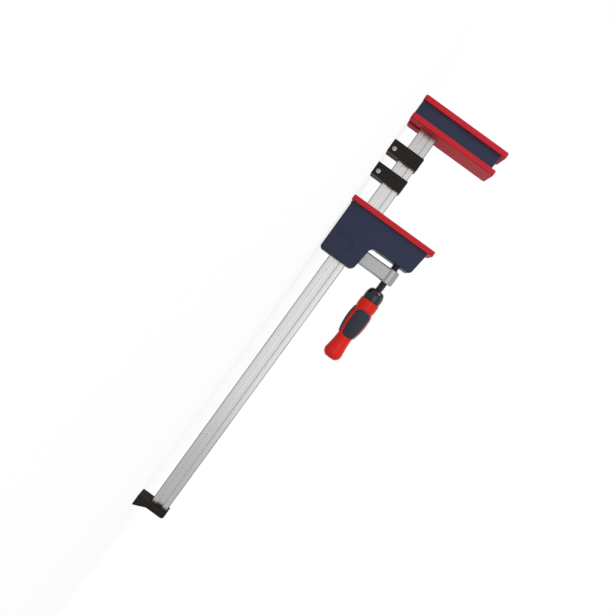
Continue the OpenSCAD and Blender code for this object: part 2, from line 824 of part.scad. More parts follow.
module support_body(i) {
    x0 = support_x(i);
    top = rail_front + slide_gap + support_wall;
    color(black) difference() {
        plate(x0, x0 + support_l, support_w, 0, top, 2);
        rail_window(x0 - 1, x0 + support_l + 1);
        block(x0 - 1, x0 + support_l + 1, pinch_w, -1, rail_back);
        block(x0 + 2, x0 + support_l - 2, rail_t - 1, window_z - leaf_t - slip, rail_back);
        cross_rod(x0 + support_screw_x, support_screw_z, screw_d + 2 * slip, support_w + 2);
        translate([x0 + support_screw_x, -support_w / 2, support_screw_z]) rotate([90, 0, 0])
            cylinder(d = screw_head_d + 2 * slip, h = 4, center = true);
        translate([x0 + support_screw_x, support_w / 2, support_screw_z]) rotate([90, 0, 0])
            cylinder(d = screw_head_d + 2 * slip, h = 7, center = true, $fn = 6);
    }
}

module support_spring(i) {
    x0 = support_x(i);
    color(steel) block(x0 + 2 + slip, x0 + support_l - 2 - slip, rail_t - 1 - 2 * slip,
        window_z - leaf_t, window_z);
}

module support_screw(i) {
    color(steel) translate([support_x(i) + support_screw_x, -support_w / 2, support_screw_z]) rotate([-90, 0, 0]) {
        translate([0, 0, -0.2]) cylinder(d = screw_head_d, h = 2);
        cylinder(d = screw_d, h = support_w - 0.5);
    }
}

module support_nut(i) {
    color(steel) translate([support_x(i) + support_screw_x, support_w / 2 - 3.4, support_screw_z]) rotate([-90, 0, 0])
        difference() {
            cylinder(d = screw_head_d, h = 3, $fn = 6);
            translate([0, 0, -1]) cylinder(d = screw_d + 2 * running, h = 5);
        }
}

module rail_support_1() { support_body(0); }
module rail_support_1_spring() { support_spring(0); }
module rail_support_1_screw() { support_screw(0); }
module rail_support_1_nut() { support_nut(0); }
module rail_support_2() { support_body(1); }
module rail_support_2_spring() { support_spring(1); }
module rail_support_2_screw() { support_screw(1); }
module rail_support_2_nut() { support_nut(1); }

rail();
fixed_jaw_core();
rail_pins();
fixed_jaw_housing();
fixed_jaw_screws();
fixed_jaw_front_cap();
fixed_jaw_rear_cap();
end_cap();
end_cap_pin();
slide_arm();
spindle_nut();
bite_pins();
brake_shoe();
brake_spring();
sliding_jaw_core();
sliding_jaw_housing();
sliding_jaw_screws();
sliding_jaw_cap();
upper_rail_guide();
lower_rail_guide();
thrust_cup();
spindle();
retaining_ring();
handle_ferrule();
handle_core();
handle_grip_panels();
hex_drive_socket();
handle_pin();
rail_support_1();
rail_support_1_spring();
rail_support_1_screw();
rail_support_1_nut();
rail_support_2();
rail_support_2_spring();
rail_support_2_screw();
rail_support_2_nut();
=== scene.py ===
"""Looks of a parallel clamp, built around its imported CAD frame.

The clamp lies on the flat backs of its jaws. X runs along the rail from the fixed jaw to
the end cap, Y is across the clamp, and Z points from the rail to the tips of the jaws.
Shapes are worked out in millimetres and become metres when they are placed.
"""

from __future__ import annotations

import json
import logging
import math
import sys
from dataclasses import dataclass
from enum import Enum
from typing import Callable, Iterable, Sequence

import bmesh
import bpy
from mathutils import Matrix, Vector

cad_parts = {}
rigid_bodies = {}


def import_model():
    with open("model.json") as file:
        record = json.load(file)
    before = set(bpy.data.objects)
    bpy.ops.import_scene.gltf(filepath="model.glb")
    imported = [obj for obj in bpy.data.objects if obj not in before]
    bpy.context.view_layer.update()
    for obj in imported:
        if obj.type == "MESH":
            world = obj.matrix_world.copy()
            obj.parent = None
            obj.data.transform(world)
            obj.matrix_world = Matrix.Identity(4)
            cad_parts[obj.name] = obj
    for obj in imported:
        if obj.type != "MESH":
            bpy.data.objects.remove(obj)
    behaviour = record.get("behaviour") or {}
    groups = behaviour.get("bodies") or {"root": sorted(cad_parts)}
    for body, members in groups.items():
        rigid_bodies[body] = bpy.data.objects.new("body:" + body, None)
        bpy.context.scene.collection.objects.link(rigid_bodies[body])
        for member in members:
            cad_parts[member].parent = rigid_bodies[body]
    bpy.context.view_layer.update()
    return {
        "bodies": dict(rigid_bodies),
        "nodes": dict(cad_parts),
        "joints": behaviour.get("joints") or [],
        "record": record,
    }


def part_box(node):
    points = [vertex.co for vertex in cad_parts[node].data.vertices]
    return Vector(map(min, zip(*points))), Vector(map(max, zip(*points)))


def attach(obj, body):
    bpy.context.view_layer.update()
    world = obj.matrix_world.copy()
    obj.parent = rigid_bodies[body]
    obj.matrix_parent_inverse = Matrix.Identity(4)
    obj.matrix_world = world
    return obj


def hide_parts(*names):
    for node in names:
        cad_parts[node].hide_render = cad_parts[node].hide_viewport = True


LOG = logging.getLogger("parallel_clamp")
SIDES = (-1, 1)
# Metres in a millimetre
MM = 0.001
# Millimetres within which doubled vertices are merged
WELD = 0.0001
# Millimetres within which two places count as one
NEAR = 0.01
# Millimetres by which a cut or a joined solid reaches past a surface
PAST = 1.0
# Millimetres of room all round a pin or shaft in its hole
PLAY = 0.05

Span = tuple[float, float]
Point = tuple[float, float, float]
Profile = Sequence[Span]
Socket = bpy.types.NodeSocket
Inputs = dict[str | int, object]
Edge = bmesh.types.BMEdge
EdgeTest = Callable[[Edge], bool]


class Axis(Enum):
    """Directions of the clamp's frame."""

    X = 0
    Y = 1
    Z = 2

    @property
    def upright(self) -> Matrix:
        """The turn that takes the Z direction to this axis."""
        turns = {Axis.X: (math.pi / 2, "Y"), Axis.Y: (-math.pi / 2, "X"), Axis.Z: (0.0, "Z")}
        return Matrix.Rotation(turns[self][0], 4, turns[self][1])


class Body(Enum):
    """Bodies of the frame that pieces ride on."""

    RAIL = "rail"
    SLIDE_ARM = "slide_arm"
    SLIDING_JAW = "sliding_jaw"
    SPINDLE = "spindle"
    SUPPORT_1 = "rail_support_1"
    SUPPORT_2 = "rail_support_2"


class Slot(Enum):
    """Material slots of the record."""

    RAIL_STEEL = "rail_steel"
    FORGED_STEEL = "forged_steel"
    BRIGHT_STEEL = "bright_steel"
    BLACK_STEEL = "black_steel"
    NUT_BRONZE = "nut_bronze"
    NAVY_PLASTIC = "navy_plastic"
    CAP_RED = "cap_red"
    BLACK_PLASTIC = "black_plastic"
    HANDLE_RED = "handle_red"
    FERRULE_NAVY = "ferrule_navy"
    GRIP_NAVY = "grip_navy"


class Joined(Enum):
    """Ways to combine two solids."""

    CUT = "DIFFERENCE"
    ADD = "UNION"


class Facing(Enum):
    """Which way along the rail a pressing face looks, as a sign of X."""

    TO_FIXED_END = -1
    TO_SLIDING_END = 1


@dataclass(frozen=True)
class Extent:
    """The box of a CAD node, in millimetres."""

    low: Vector
    high: Vector

    @property
    def middle(self) -> Vector:
        """Centre of the box."""
        return (self.low + self.high) / 2

    @property
    def size(self) -> Vector:
        """Lengths of the box's sides."""
        return self.high - self.low


def extents(*nodes: str) -> list[Extent]:
    """Boxes of CAD nodes, in the order of their names."""
    return [Extent(*(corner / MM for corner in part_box(node))) for node in nodes]


def near(place: float, other: float) -> bool:
    """Tells whether two coordinates count as one."""
    return abs(place - other) < NEAR


def fold_of(edge: Edge) -> float:
    """Angle between the two faces of an edge, or 0 where it hasn't two."""
    return edge.calc_face_angle() if len(edge.link_faces) == 2 else 0.0


def on_plane(axis: Axis, *places: float) -> EdgeTest:
    """A test for the edges that lie in one of some planes at right angles to an axis."""
    return lambda edge: any(
        all(near(vert.co[axis.value], place) for vert in edge.verts) for place in places
    )


def between(axis: Axis, low: float, high: float) -> EdgeTest:
    """A test for the edges whose middle is between two coordinates, or at one of them."""
    return lambda edge: low - NEAR < sum(v.co[axis.value] for v in edge.verts) / 2 < high + NEAR


def parallel_to(axis: Axis) -> EdgeTest:
    """A test for the edges that are parallel to an axis.

    Args:
        axis: The axis.

    Returns:
        The test.
    """

    def test(edge: Edge) -> bool:
        """Compares the edge's length with its length along the axis."""
        span = edge.verts[1].co - edge.verts[0].co
        return abs(abs(span[axis.value]) - span.length) < NEAR * max(span.length, NEAR)

    return test


def linked(name: str, data: bpy.types.ID) -> bpy.types.Object:
    """Makes an object and links it to the scene.

    Args:
        name: Name of the object.
        data: Its mesh, light or camera.

    Returns:
        The object.
    """
    item = bpy.data.objects.new(name, data)
    bpy.context.scene.collection.objects.link(item)
    return item


class Shape:
    """A solid in the making, as a bmesh in millimetres."""

    # An edge is rounded where it folds by more than this angle
    FOLD = math.radians(20)
    # An edge is drawn sharp where it folds by this angle or more
    SHARP = math.radians(38)

    def __init__(self) -> None:
        """Starts an empty mesh."""
        self.mesh = bmesh.new()

    @classmethod
    def block(cls, corner: Sequence[float], opposite: Sequence[float]) -> Shape:
        """Makes a box between two opposite corners.

        Args:
            corner: One corner.
            opposite: The corner across from it.

        Returns:
            The box.
        """
        shape = cls()
        span = Vector(opposite) - Vector(corner)
        verts = bmesh.ops.create_cube(shape.mesh, size=1.0)["verts"]
        bmesh.ops.scale(shape.mesh, vec=[abs(side) for side in span], verts=verts)
        bmesh.ops.translate(shape.mesh, vec=Vector(corner) + span / 2, verts=verts)
        return shape

    @classmethod
    def slab(cls, along: Span, half: float, heights: Span) -> Shape:
        """Makes a box of a half width, from its two places along X and its two heights."""
        return cls.block((along[0], -half, heights[0]), (along[1], half, heights[1]))

    @classmethod
    def rod(cls, axis: Axis, centre: Point, radius: float, length: float, sides: int) -> Shape:
        """Makes a cylinder around a centre.

        Args:
            axis: Direction of the rod.
            centre: Its middle point.
            radius: Its radius.
            length: Its length along the axis.
            sides: Number of flat sides.

        Returns:
            The rod.
        """
        shape = cls()
        round_ends = {"radius1": radius, "radius2": radius, "depth": length}
        bmesh.ops.create_cone(shape.mesh, cap_ends=True, segments=sides, **round_ends)
        return shape.moved(Matrix.Translation(centre) @ axis.upright)

    @classmethod
    def bore(cls, axis: Axis, centre: Point, radius: float, length: float, sides: int) -> Shape:
        """Makes what is cut out of a wall for a pin, with room all round and at both ends."""
        return cls.rod(axis, centre, radius + PLAY, length + 2 * PAST, sides)

    @classmethod
    def prism(cls, corners: Profile, half: float) -> Shape:
        """Extrudes an outline across the clamp.

        Args:
            corners: Corners of the outline as (x, z), in order.
            half: Half of the prism's width.

        Returns:
            The prism.
        """
        shape = cls()
        edges = shape.chained([(x, -half, z) for x, z in corners], closed=True)[len(corners) :]
        face = bmesh.ops.edgeloop_fill(shape.mesh, edges=edges)["faces"]
        far = bmesh.ops.extrude_face_region(shape.mesh, geom=face)["geom"]
        shape.shifted(far, (0, 2 * half, 0))
        return shape.outward()

    @classmethod
    def turned(
        cls, axis: Axis, centre: Point, profile: Profile, ring: bool = False, steps: int = 64
    ) -> Shape:
        """Turns a profile about an axis.

        Args:
            axis: Direction of the axis.
            centre: A point on the axis, from which the profile counts.
            profile: Points as (distance along the axis, radius).
            ring: Whether the profile closes on itself.
            steps: Number of steps in a full turn.

        Returns:
            The turned solid.
        """
        shape = cls()
        shape.spun(profile, steps, closed=ring, angle=math.tau, use_merge=True)
        return shape.outward().moved(Matrix.Translation(centre) @ axis.upright)

    def spun(self, profile: Profile, steps: int, closed: bool = False, **how: object) -> None:
        """Spins a profile about the Z axis.

        Args:
            profile: Points as (distance along the axis, radius).
            steps: Number of steps.
            closed: Whether the profile closes on itself.
            how: Other settings of the operator.
        """
        line = self.chained([(radius, 0, along) for along, radius in profile], closed)
        bmesh.ops.spin(self.mesh, geom=line, cent=(0, 0, 0), axis=(0, 0, 1), steps=steps, **how)

    def chained(self, points: Sequence[Point], closed: bool) -> list[bmesh.types.BMElem]:
        """Adds a line of edges through points.

        Args:
            points: The points, in order.
            closed: Whether the last one joins the first.

        Returns:
            The new vertices, and then the new edges.
        """
        verts = [self.mesh.verts.new(point) for point in points]
        ends = verts[1:] + verts[:1] if closed else verts[1:]
        return verts + [self.mesh.edges.new(pair) for pair in zip(verts, ends)]

    def shifted(self, geom: Iterable[bmesh.types.BMElem], way: Point) -> None:
        """Moves the vertices among some geometry."""
        verts = [part for part in geom if isinstance(part, bmesh.types.BMVert)]
        bmesh.ops.translate(self.mesh, vec=way, verts=verts)

    def moved(self, placing: Matrix) -> Shape:
        """Moves or turns the whole shape."""
        bmesh.ops.transform(self.mesh, matrix=placing, verts=self.mesh.verts)
        return self

    def welded(self) -> Shape:
        """Merges doubled vertices."""
        bmesh.ops.remove_doubles(self.mesh, verts=self.mesh.verts, dist=WELD)
        return self

    def outward(self) -> Shape:
        """Merges doubled vertices and points every face outwards."""
        bmesh.ops.recalc_face_normals(self.welded().mesh, faces=self.mesh.faces)
        return self

    def closed(self) -> Shape:
        """Fills every open rim and points every face outwards."""
        bmesh.ops.holes_fill(self.mesh, edges=self.mesh.edges, sides=0)
        return self.outward()

    def sliced(self, axis: Axis, place: float, dropped: int = 0) -> Shape:
        """Adds a line of edges all round the shape, or cuts it off there.

        Args:
            axis: Axis at right angles to the line.
            place: Where the line crosses the axis.
            dropped: Sign of the side that is cut off, or 0 for neither.

        Returns:
            The shape itself.
        """
        normal = axis.upright @ Vector((0, 0, 1))
        bmesh.ops.bisect_plane(
            self.mesh,
            geom=[*self.mesh.verts, *self.mesh.edges, *self.mesh.faces],
            plane_co=normal * place,
            plane_no=normal * (dropped or 1),
            clear_outer=dropped != 0,
        )
        return self

    def eased(self, radius: float, *tests: EdgeTest, segments: int = 3) -> Shape:
        """Rounds the folded edges that pass every test.

        Args:
            radius: Radius of the rounding at a square corner.
            tests: Tests for the edges to round.
            segments: Number of steps across the rounding.

        Returns:
            The shape itself.
        """
        folded = [edge for edge in self.mesh.edges if fold_of(edge) > self.FOLD]
        bmesh.ops.bevel(
            self.mesh,
            geom=[edge for edge in folded if all(test(edge) for test in tests)],
            offset=radius,
            offset_type="OFFSET",
            affect="EDGES",
            segments=segments,
            profile=0.5,
            material=-1,
            clamp_overlap=True,
        )
        return self

    def as_object(self, name: str) -> bpy.types.Object:
        """Makes an object of the shape as it is.

        Args:
            name: Name of the object and its mesh.

        Returns:
            The object.
        """
        mesh = bpy.data.meshes.new(name)
        self.mesh.to_mesh(mesh)
        return linked(name, mesh)

    def joined(self, how: Joined, *others: Shape) -> Shape:
        """Combines the shape with others, one after another.

        Args:
            how: Whether to cut the others out or to add them.
            others: The other solids.

        Returns:
            The shape itself.
        """
        passing = [shape.as_object("passing") for shape in (self, *others)]
        for tool in passing[1:]:
            modifier = passing[0].modifiers.new("joined", "BOOLEAN")
            modifier.operation = how.value
            modifier.solver = "EXACT"
            modifier.object = tool
        graph = bpy.context.evaluated_depsgraph_get()
        result = bpy.data.meshes.new_from_object(passing[0].evaluated_get(graph))
        self.mesh.clear()
        self.mesh.from_mesh(result)
        for mesh in (result, *(item.data for item in passing)):
            # Removing a mesh also removes the object that shows it
            bpy.data.meshes.remove(mesh)
        return self.welded()

    def cut(self, *others: Shape) -> Shape:
        """Takes other solids out of this one."""
        return self.joined(Joined.CUT, *others)

    def added(self, *others: Shape) -> Shape:
        """Adds other solids to this one."""
        return self.joined(Joined.ADD, *others)

    def placed(self, name: str) -> bpy.types.Object:
        """Makes the finished object, in metres, with its place in its mesh.

        Args:
            name: Name of the piece.

        Returns:
            The object, smooth between its sharp edges.
        """
        for face in self.welded().mesh.faces:
            face.smooth = True
        for edge in self.mesh.edges:
            edge.smooth = fold_of(edge) < self.SHARP
        piece = self.moved(Matrix.Scale(MM, 4)).as_object(name)
        self.mesh.free()
        piece.modifiers.new("even_normals", "WEIGHTED_NORMAL").keep_sharp = True
        return piece


@dataclass(frozen=True)
class CrossRecess:
    """The cross recess in a screw's head."""

    depth: float
    length: float = 4.0
    width: float = 0.9

    def bars(self, axis: Axis, centre: Point) -> list[Shape]:
        """What is cut out of the head.

        Args:
            axis: Direction of the screw.
            centre: Middle of the head's face.

        Returns:
            The two crossed bars.
        """
        placing = Matrix.Translation(centre) @ axis.upright
        halves = ((self.length / 2, self.width / 2), (self.width / 2, self.length / 2))
        return [Shape.block((-x, -y, -PAST), (x, y, self.depth)).moved(placing) for x, y in halves]


def rail_passage(along: Span, gap: float) -> Shape:
    """What is cut out of a piece for the rail, with a gap all round it."""
    rail = extents("rail")[0]
    return Shape.slab(along, rail.high.y + gap, (rail.low.z - gap, rail.high.z + gap))


class Signal:
    """A value socket on which Python's arithmetic adds Math nodes."""

    def __init__(self, paint: Paint, socket: Socket) -> None:
        """Wraps an output socket of a material."""
        self.paint = paint
        self.socket = socket

    def __add__(self, other: Signal | float) -> Signal:
        """Sum."""
        return self.paint.maths("ADD", self, other)

    def __radd__(self, other: float) -> Signal:
        """Sum with a number on the left."""
        return self.paint.maths("ADD", other, self)

    def __sub__(self, other: Signal | float) -> Signal:
        """Difference."""
        return self.paint.maths("SUBTRACT", self, other)

    def __rsub__(self, other: float) -> Signal:
        """Difference from a number."""
        return self.paint.maths("SUBTRACT", other, self)

    def __mul__(self, other: Signal | float) -> Signal:
        """Product."""
        return self.paint.maths("MULTIPLY", self, other)

    def __rmul__(self, other: float) -> Signal:
        """Product with a number on the left."""
        return self.paint.maths("MULTIPLY", other, self)

    def around(self, middle: float, spread: float) -> Signal:
        """Spreads a signal of 0 to 1 about a middle value."""
        return self * spread + (middle - spread / 2)


class Paint:
    """A material or world in the making, with one method that adds any node."""

    def __init__(self, owner: bpy.types.Material | bpy.types.World) -> None:
        """Empties the node tree of a new material or world.

        Args:
            owner: The material or world.
        """
        owner.use_nodes = True
        self.owner = owner
        self.tree = owner.node_tree
        self.tree.nodes.clear()

    def node(
        self, kind: str, settings: dict[str, object] | None = None, inputs: Inputs | None = None
    ) -> bpy.types.Node:
        """Adds a node.

        Args:
            kind: The node's type, without its first words.
            settings: Its own settings.
            inputs: Values, signals or sockets for its inputs.

        Returns:
            The node.
        """
        node = self.tree.nodes.new(f"ShaderNode{kind}")
        for key, value in (settings or {}).items():
            setattr(node, key, value)
        for key, value in (inputs or {}).items():
            source = value.socket if isinstance(value, Signal) else value
            if isinstance(source, Socket):
                self.tree.links.new(source, node.inputs[key])
            else:
                node.inputs[key].default_value = source
        return node

    def signal(self, output: str | int, kind: str, *inputs: dict) -> Signal:
        """Adds a node and wraps one of its outputs."""
        return Signal(self, self.node(kind, *inputs).outputs[output])

    def maths(self, operation: str, *values: Signal | float) -> Signal:
        """Adds one Math node, with its values in the order of its sockets."""
        return self.signal(0, "Math", {"operation": operation}, dict(enumerate(values)))

    def place(self, scale: Point = (1, 1, 1)) -> Socket:
        """Object coordinates, stretched by a factor along each axis."""
        inputs = {"Vector": self.node("TexCoord").outputs["Object"], "Scale": scale}
        return self.node("Mapping", {}, inputs).outputs["Vector"]

    def mix(self, factor: Signal, low: Point | Socket, high: Point | Socket) -> Socket:
        """Mixes two colours.

        Args:
            factor: Share of the second colour.
            low: The first colour.
            high: The second colour.

        Returns:
            The mixed colour.
        """
        # Inputs 6 and 7 and output 2 are the node's colours
        ends = [(*end, 1.0) if isinstance(end, tuple) else end for end in (low, high)]
        inputs = {0: factor, 6: ends[0], 7: ends[1]}
        return self.node("Mix", {"data_type": "RGBA"}, inputs).outputs[2]

    def tinted(self, factor: Signal, colour: Point, dark: float, light: float) -> Socket:
        """A colour that varies between a darker and a lighter shade of it."""
        return self.mix(factor, shade(colour, dark), shade(colour, light))

    def rise(self, value: Signal, low: float, high: float, start: float = 0.0) -> Signal:
        """A smooth rise from a start to 1, while a value goes from low to high."""
        inputs = {"Value": value, "From Min": low, "From Max": high, "To Min": start}
        return self.signal(0, "MapRange", {"interpolation_type": "SMOOTHSTEP"}, inputs)

    def bump(self, height: Signal, strength: float, depth: float) -> Socket:
        """Turns heights of 0 to 1 into a normal, with the depth in millimetres."""
        inputs = {"Height": height, "Strength": strength, "Distance": depth * MM}
        return self.node("Bump", {}, inputs).outputs["Normal"]


def shade(colour: Point, factor: float) -> Point:
    """A colour made lighter or darker."""
    return tuple(channel * factor for channel in colour)


@dataclass(frozen=True)
class Noise:
    """Noise of 0 to 1, with its lumps to the metre, its finer layers and its stretch."""

    scale: float
    detail: float = 2.0
    stretch: Point = (1, 1, 1)

    def on(self, paint: Paint) -> Signal:
        """Adds the noise to a material."""
        inputs = {"Vector": paint.place(self.stretch), "Scale": self.scale, "Detail": self.detail}
        return paint.signal("Fac", "TexNoise", {}, inputs)


@dataclass(frozen=True)
class Finish:
    """How one kind of surface looks.

    Broad clouds vary its shade and its gloss, and a fine relief is a bump in millimetres.
    """

    colour: Point
    roughness: float
    relief_strength: float
    specular: float = 0.5
    metallic: float = 0.0
    clouds: Noise = Noise(22.0, 3.0)
    shades: Span = (0.95, 1.05)
    gloss: float = 0.08
    relief: Noise = Noise(2000.0, 3.0)
    relief_depth: float = 0.08

    def layers(self, paint: Paint) -> tuple[Signal, Signal, Signal]:
        """What varies the shade, the gloss and the relief."""
        clouds = self.clouds.on(paint)
        return clouds, clouds, self.relief.on(paint)

    def sockets(self, paint: Paint) -> Inputs:
        """Works out what goes into the surface's shader.

        Args:
            paint: The material.

        Returns:
            Values and links of the shader.
        """
        clouds, gloss, relief = self.layers(paint)
        return {
            "Base Color": paint.tinted(clouds, self.colour, *self.shades),
            "Metallic": self.metallic,
            "Specular IOR Level": self.specular,
            "Roughness": gloss.around(self.roughness, self.gloss),
            "Normal": paint.bump(relief, self.relief_strength, self.relief_depth),
        }

    def material(self, name: str) -> bpy.types.Material:
        """Makes the material.

        Args:
            name: Name of the material.

        Returns:
            The material.
        """
        paint = Paint(bpy.data.materials.new(name))
        shader = paint.node("BsdfPrincipled", {}, self.sockets(paint))
        paint.node("OutputMaterial", {}, {"Surface": shader.outputs["BSDF"]})
        return paint.owner


@dataclass(frozen=True)
class Moulded(Finish):
    """Moulded plastic with a fine grain and broad, faint flow marks."""


@dataclass(frozen=True)
class SoftGrip(Finish):
    """Soft overmoulded rubber, unevenly worn, with small round dots for its relief."""

    roughness: float = 0.6
    relief_strength: float = 0.35
    specular: float = 0.15
    clouds: Noise = Noise(40.0)
    shades: Span = (0.9, 1.12)
    gloss: float = 0.1
    dot_size: float = 0.7
    relief_depth: float = 0.12

    def layers(self, paint: Paint) -> tuple[Signal, Signal, Signal]:
        """The worn skin, twice, and the dots.

        Args:
            paint: The material.

        Returns:
            What varies the shade, the gloss and the relief.
        """
        worn = self.clouds.on(paint)
        cells = {"Vector": paint.place(), "Scale": 1 / (self.dot_size * MM)}
        return worn, worn, 1 - paint.signal("Distance", "TexVoronoi", {"feature": "F1"}, cells)


@dataclass(frozen=True)
class TurnedMetal(Finish):
    """Machined metal under a thin uneven film, with fine marks of the tool round its axis."""

    relief_strength: float = 0.12
    metallic: float = 1.0
    clouds: Noise = Noise(160.0, 3.0)
    shades: Span = (0.9, 1.08)
    gloss: float = 0.12
    relief: Noise = Noise(5200.0, 2.0, (1, 0.02, 0.02))
    relief_depth: float = 0.02


@dataclass(frozen=True)
class ForgedSteel(Finish):
    """Satin plate over the uneven skin of a forging, with small pits for its gloss."""

    roughness: float = 0.42
    relief_strength: float = 0.3
    metallic: float = 1.0
    clouds: Noise = Noise(480.0, 4.0)
    shades: Span = (0.92, 1.06)
    gloss: float = 0.14
    relief: Noise = Noise(1900.0)
    relief_depth: float = 0.12
    skin_share: float = 0.7

    def layers(self, paint: Paint) -> tuple[Signal, Signal, Signal]:
        """The skin, the pits and both together.

        Args:
            paint: The material.

        Returns:
            What varies the shade, the gloss and the relief.
        """
        skin, pits = self.clouds.on(paint), self.relief.on(paint)
        return skin, pits, skin * self.skin_share + pits * (1 - self.skin_share)


@dataclass(frozen=True)
class DrawnSteel(Finish):
    """Cold-drawn, plated bar, streaked along the rail, dulled towards its toothed edges and
    darkened there by painted shade.
    """

    roughness: float = 0.3
    relief_strength: float = 0.2
    metallic: float = 1.0
    shades: Span = (0.92, 1.08)
    gloss: float = 0.16
    relief_depth: float = 0.03
    # Kinds of streaks, with their shares
    streaks: tuple[tuple[Noise, float], ...] = (
        (Noise(2600.0, 3.0, (0.012, 1, 1)), 0.45),
        (Noise(420.0, 2.0, (0.03, 1, 1)), 0.35),
        (Noise(30.0, 3.0, (0.5, 1, 1)), 0.2),
    )
    middle: float = 36.0
    half_height: float = 14.5
    # Band along the toothed edges: its width, the painted shade that darkens it, and its extra
    # roughness
    edge_band_width: float = 2.4
    painted_edge_shade: float = 0.36
    dull_gloss: float = 0.15

    def _edge_shade_and_dullness(self, paint: Paint, streaks: Signal) -> Signal:
        """How much each place is dulled and darkened by painted shade, from 0 on the broad faces
        to 1 on the toothed edges.

        Args:
            paint: The material.
            streaks: The streaks, which fray the border.

        Returns:
            The share of dullness and painted shade.
        """
        height = paint.signal("Z", "SeparateXYZ", {}, {"Vector": paint.place()})
        across = paint.maths("ABSOLUTE", height - self.middle * MM)
        frayed = across + (streaks - 0.5) * (self.edge_band_width * MM)
        return paint.rise(frayed, (self.half_height - self.edge_band_width) * MM, self.half_height * MM)

    def sockets(self, paint: Paint) -> Inputs:
        """Streaks the steel along the rail, and dulls it and paints shade on it towards its
        toothed edges.

        Args:
            paint: The material.

        Returns:
            Values and links of the shader.
        """
        fine, broad, cloud = (noise.on(paint) * share for noise, share in self.streaks)
        streaks = fine + broad + cloud
        clean = paint.tinted(streaks, self.colour, *self.shades)
        shade_and_dullness = self._edge_shade_and_dullness(paint, streaks)
        gloss = streaks.around(self.roughness, self.gloss)
        return {
            # Painted shade: the base colour darkens towards the toothed edges
            "Base Color": paint.mix(shade_and_dullness, clean, shade(self.colour, self.painted_edge_shade)),
            "Metallic": self.metallic,
            "Roughness": gloss + shade_and_dullness * self.dull_gloss,
            "Normal": paint.bump(streaks, self.relief_strength, self.relief_depth),
        }


FINISHES: dict[Slot, Finish] = {
    Slot.RAIL_STEEL: DrawnSteel((0.425, 0.422, 0.416)),
    Slot.FORGED_STEEL: ForgedSteel((0.262, 0.262, 0.265)),
    Slot.BRIGHT_STEEL: TurnedMetal((0.28, 0.275, 0.27), 0.25),
    Slot.BLACK_STEEL: TurnedMetal((0.022, 0.019, 0.019), 0.4, metallic=0.0, specular=0.25),
    Slot.NUT_BRONZE: TurnedMetal((0.55, 0.44, 0.26), 0.3),
    Slot.NAVY_PLASTIC: Moulded((0.025, 0.030, 0.058), 0.55, 0.3, specular=0.1),
    Slot.CAP_RED: Moulded((0.46, 0.020, 0.030), 0.5, 0.12, specular=0.06),
    Slot.BLACK_PLASTIC: Moulded((0.015, 0.011, 0.009), 0.5, 0.35, specular=0.08),
    Slot.HANDLE_RED: Moulded((0.60, 0.017, 0.011), 0.3, 0.05, specular=0.1),
    Slot.FERRULE_NAVY: Moulded((0.005, 0.006, 0.010), 0.1, 0.04, specular=0.35),
    Slot.GRIP_NAVY: SoftGrip((0.026, 0.028, 0.040)),
}


class Bench:
    """Holds every finish and the frame's nodes."""

    def __init__(self, frame: dict) -> None:
        self.nodes = frame["nodes"]
        self.materials = {slot: kind.material(slot.value) for slot, kind in FINISHES.items()}


@dataclass
class SubAssembly:
    """A group of pieces that ride on one body."""

    bench: Bench
    body: Body

    def build(self) -> None:
        """Builds every piece of the group and dresses the nodes that stay."""
        raise NotImplementedError

    def place(self, name: str, shape: Shape, slot: Slot, node: str) -> None:
        """Makes a piece of a shape and sets it on the body.

        Args:
            name: Name of the piece.
            shape: The finished shape.
            slot: The slot that it takes its finish from.
            node: The CAD node that it stands for.
        """
        piece = shape.placed(name)
        piece.data.materials.append(self.bench.materials[slot])
        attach(piece, self.body.value)
        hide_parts(node)
        LOG.info("%s: %d faces on %s", name, len(piece.data.polygons), self.body.value)

    def dress(self, slot: Slot, *nodes: str) -> None:
        """Gives CAD nodes that stay the finish of a slot.

        Args:
            slot: The slot.
            nodes: Names of the nodes.
        """
        for name in nodes:
            node = self.bench.nodes[name]
            if not node.material_slots:
                node.data.materials.append(None)
            for place in node.material_slots:
                place.material = self.bench.materials[slot]
            LOG.info("%s: keeps its CAD mesh", name)


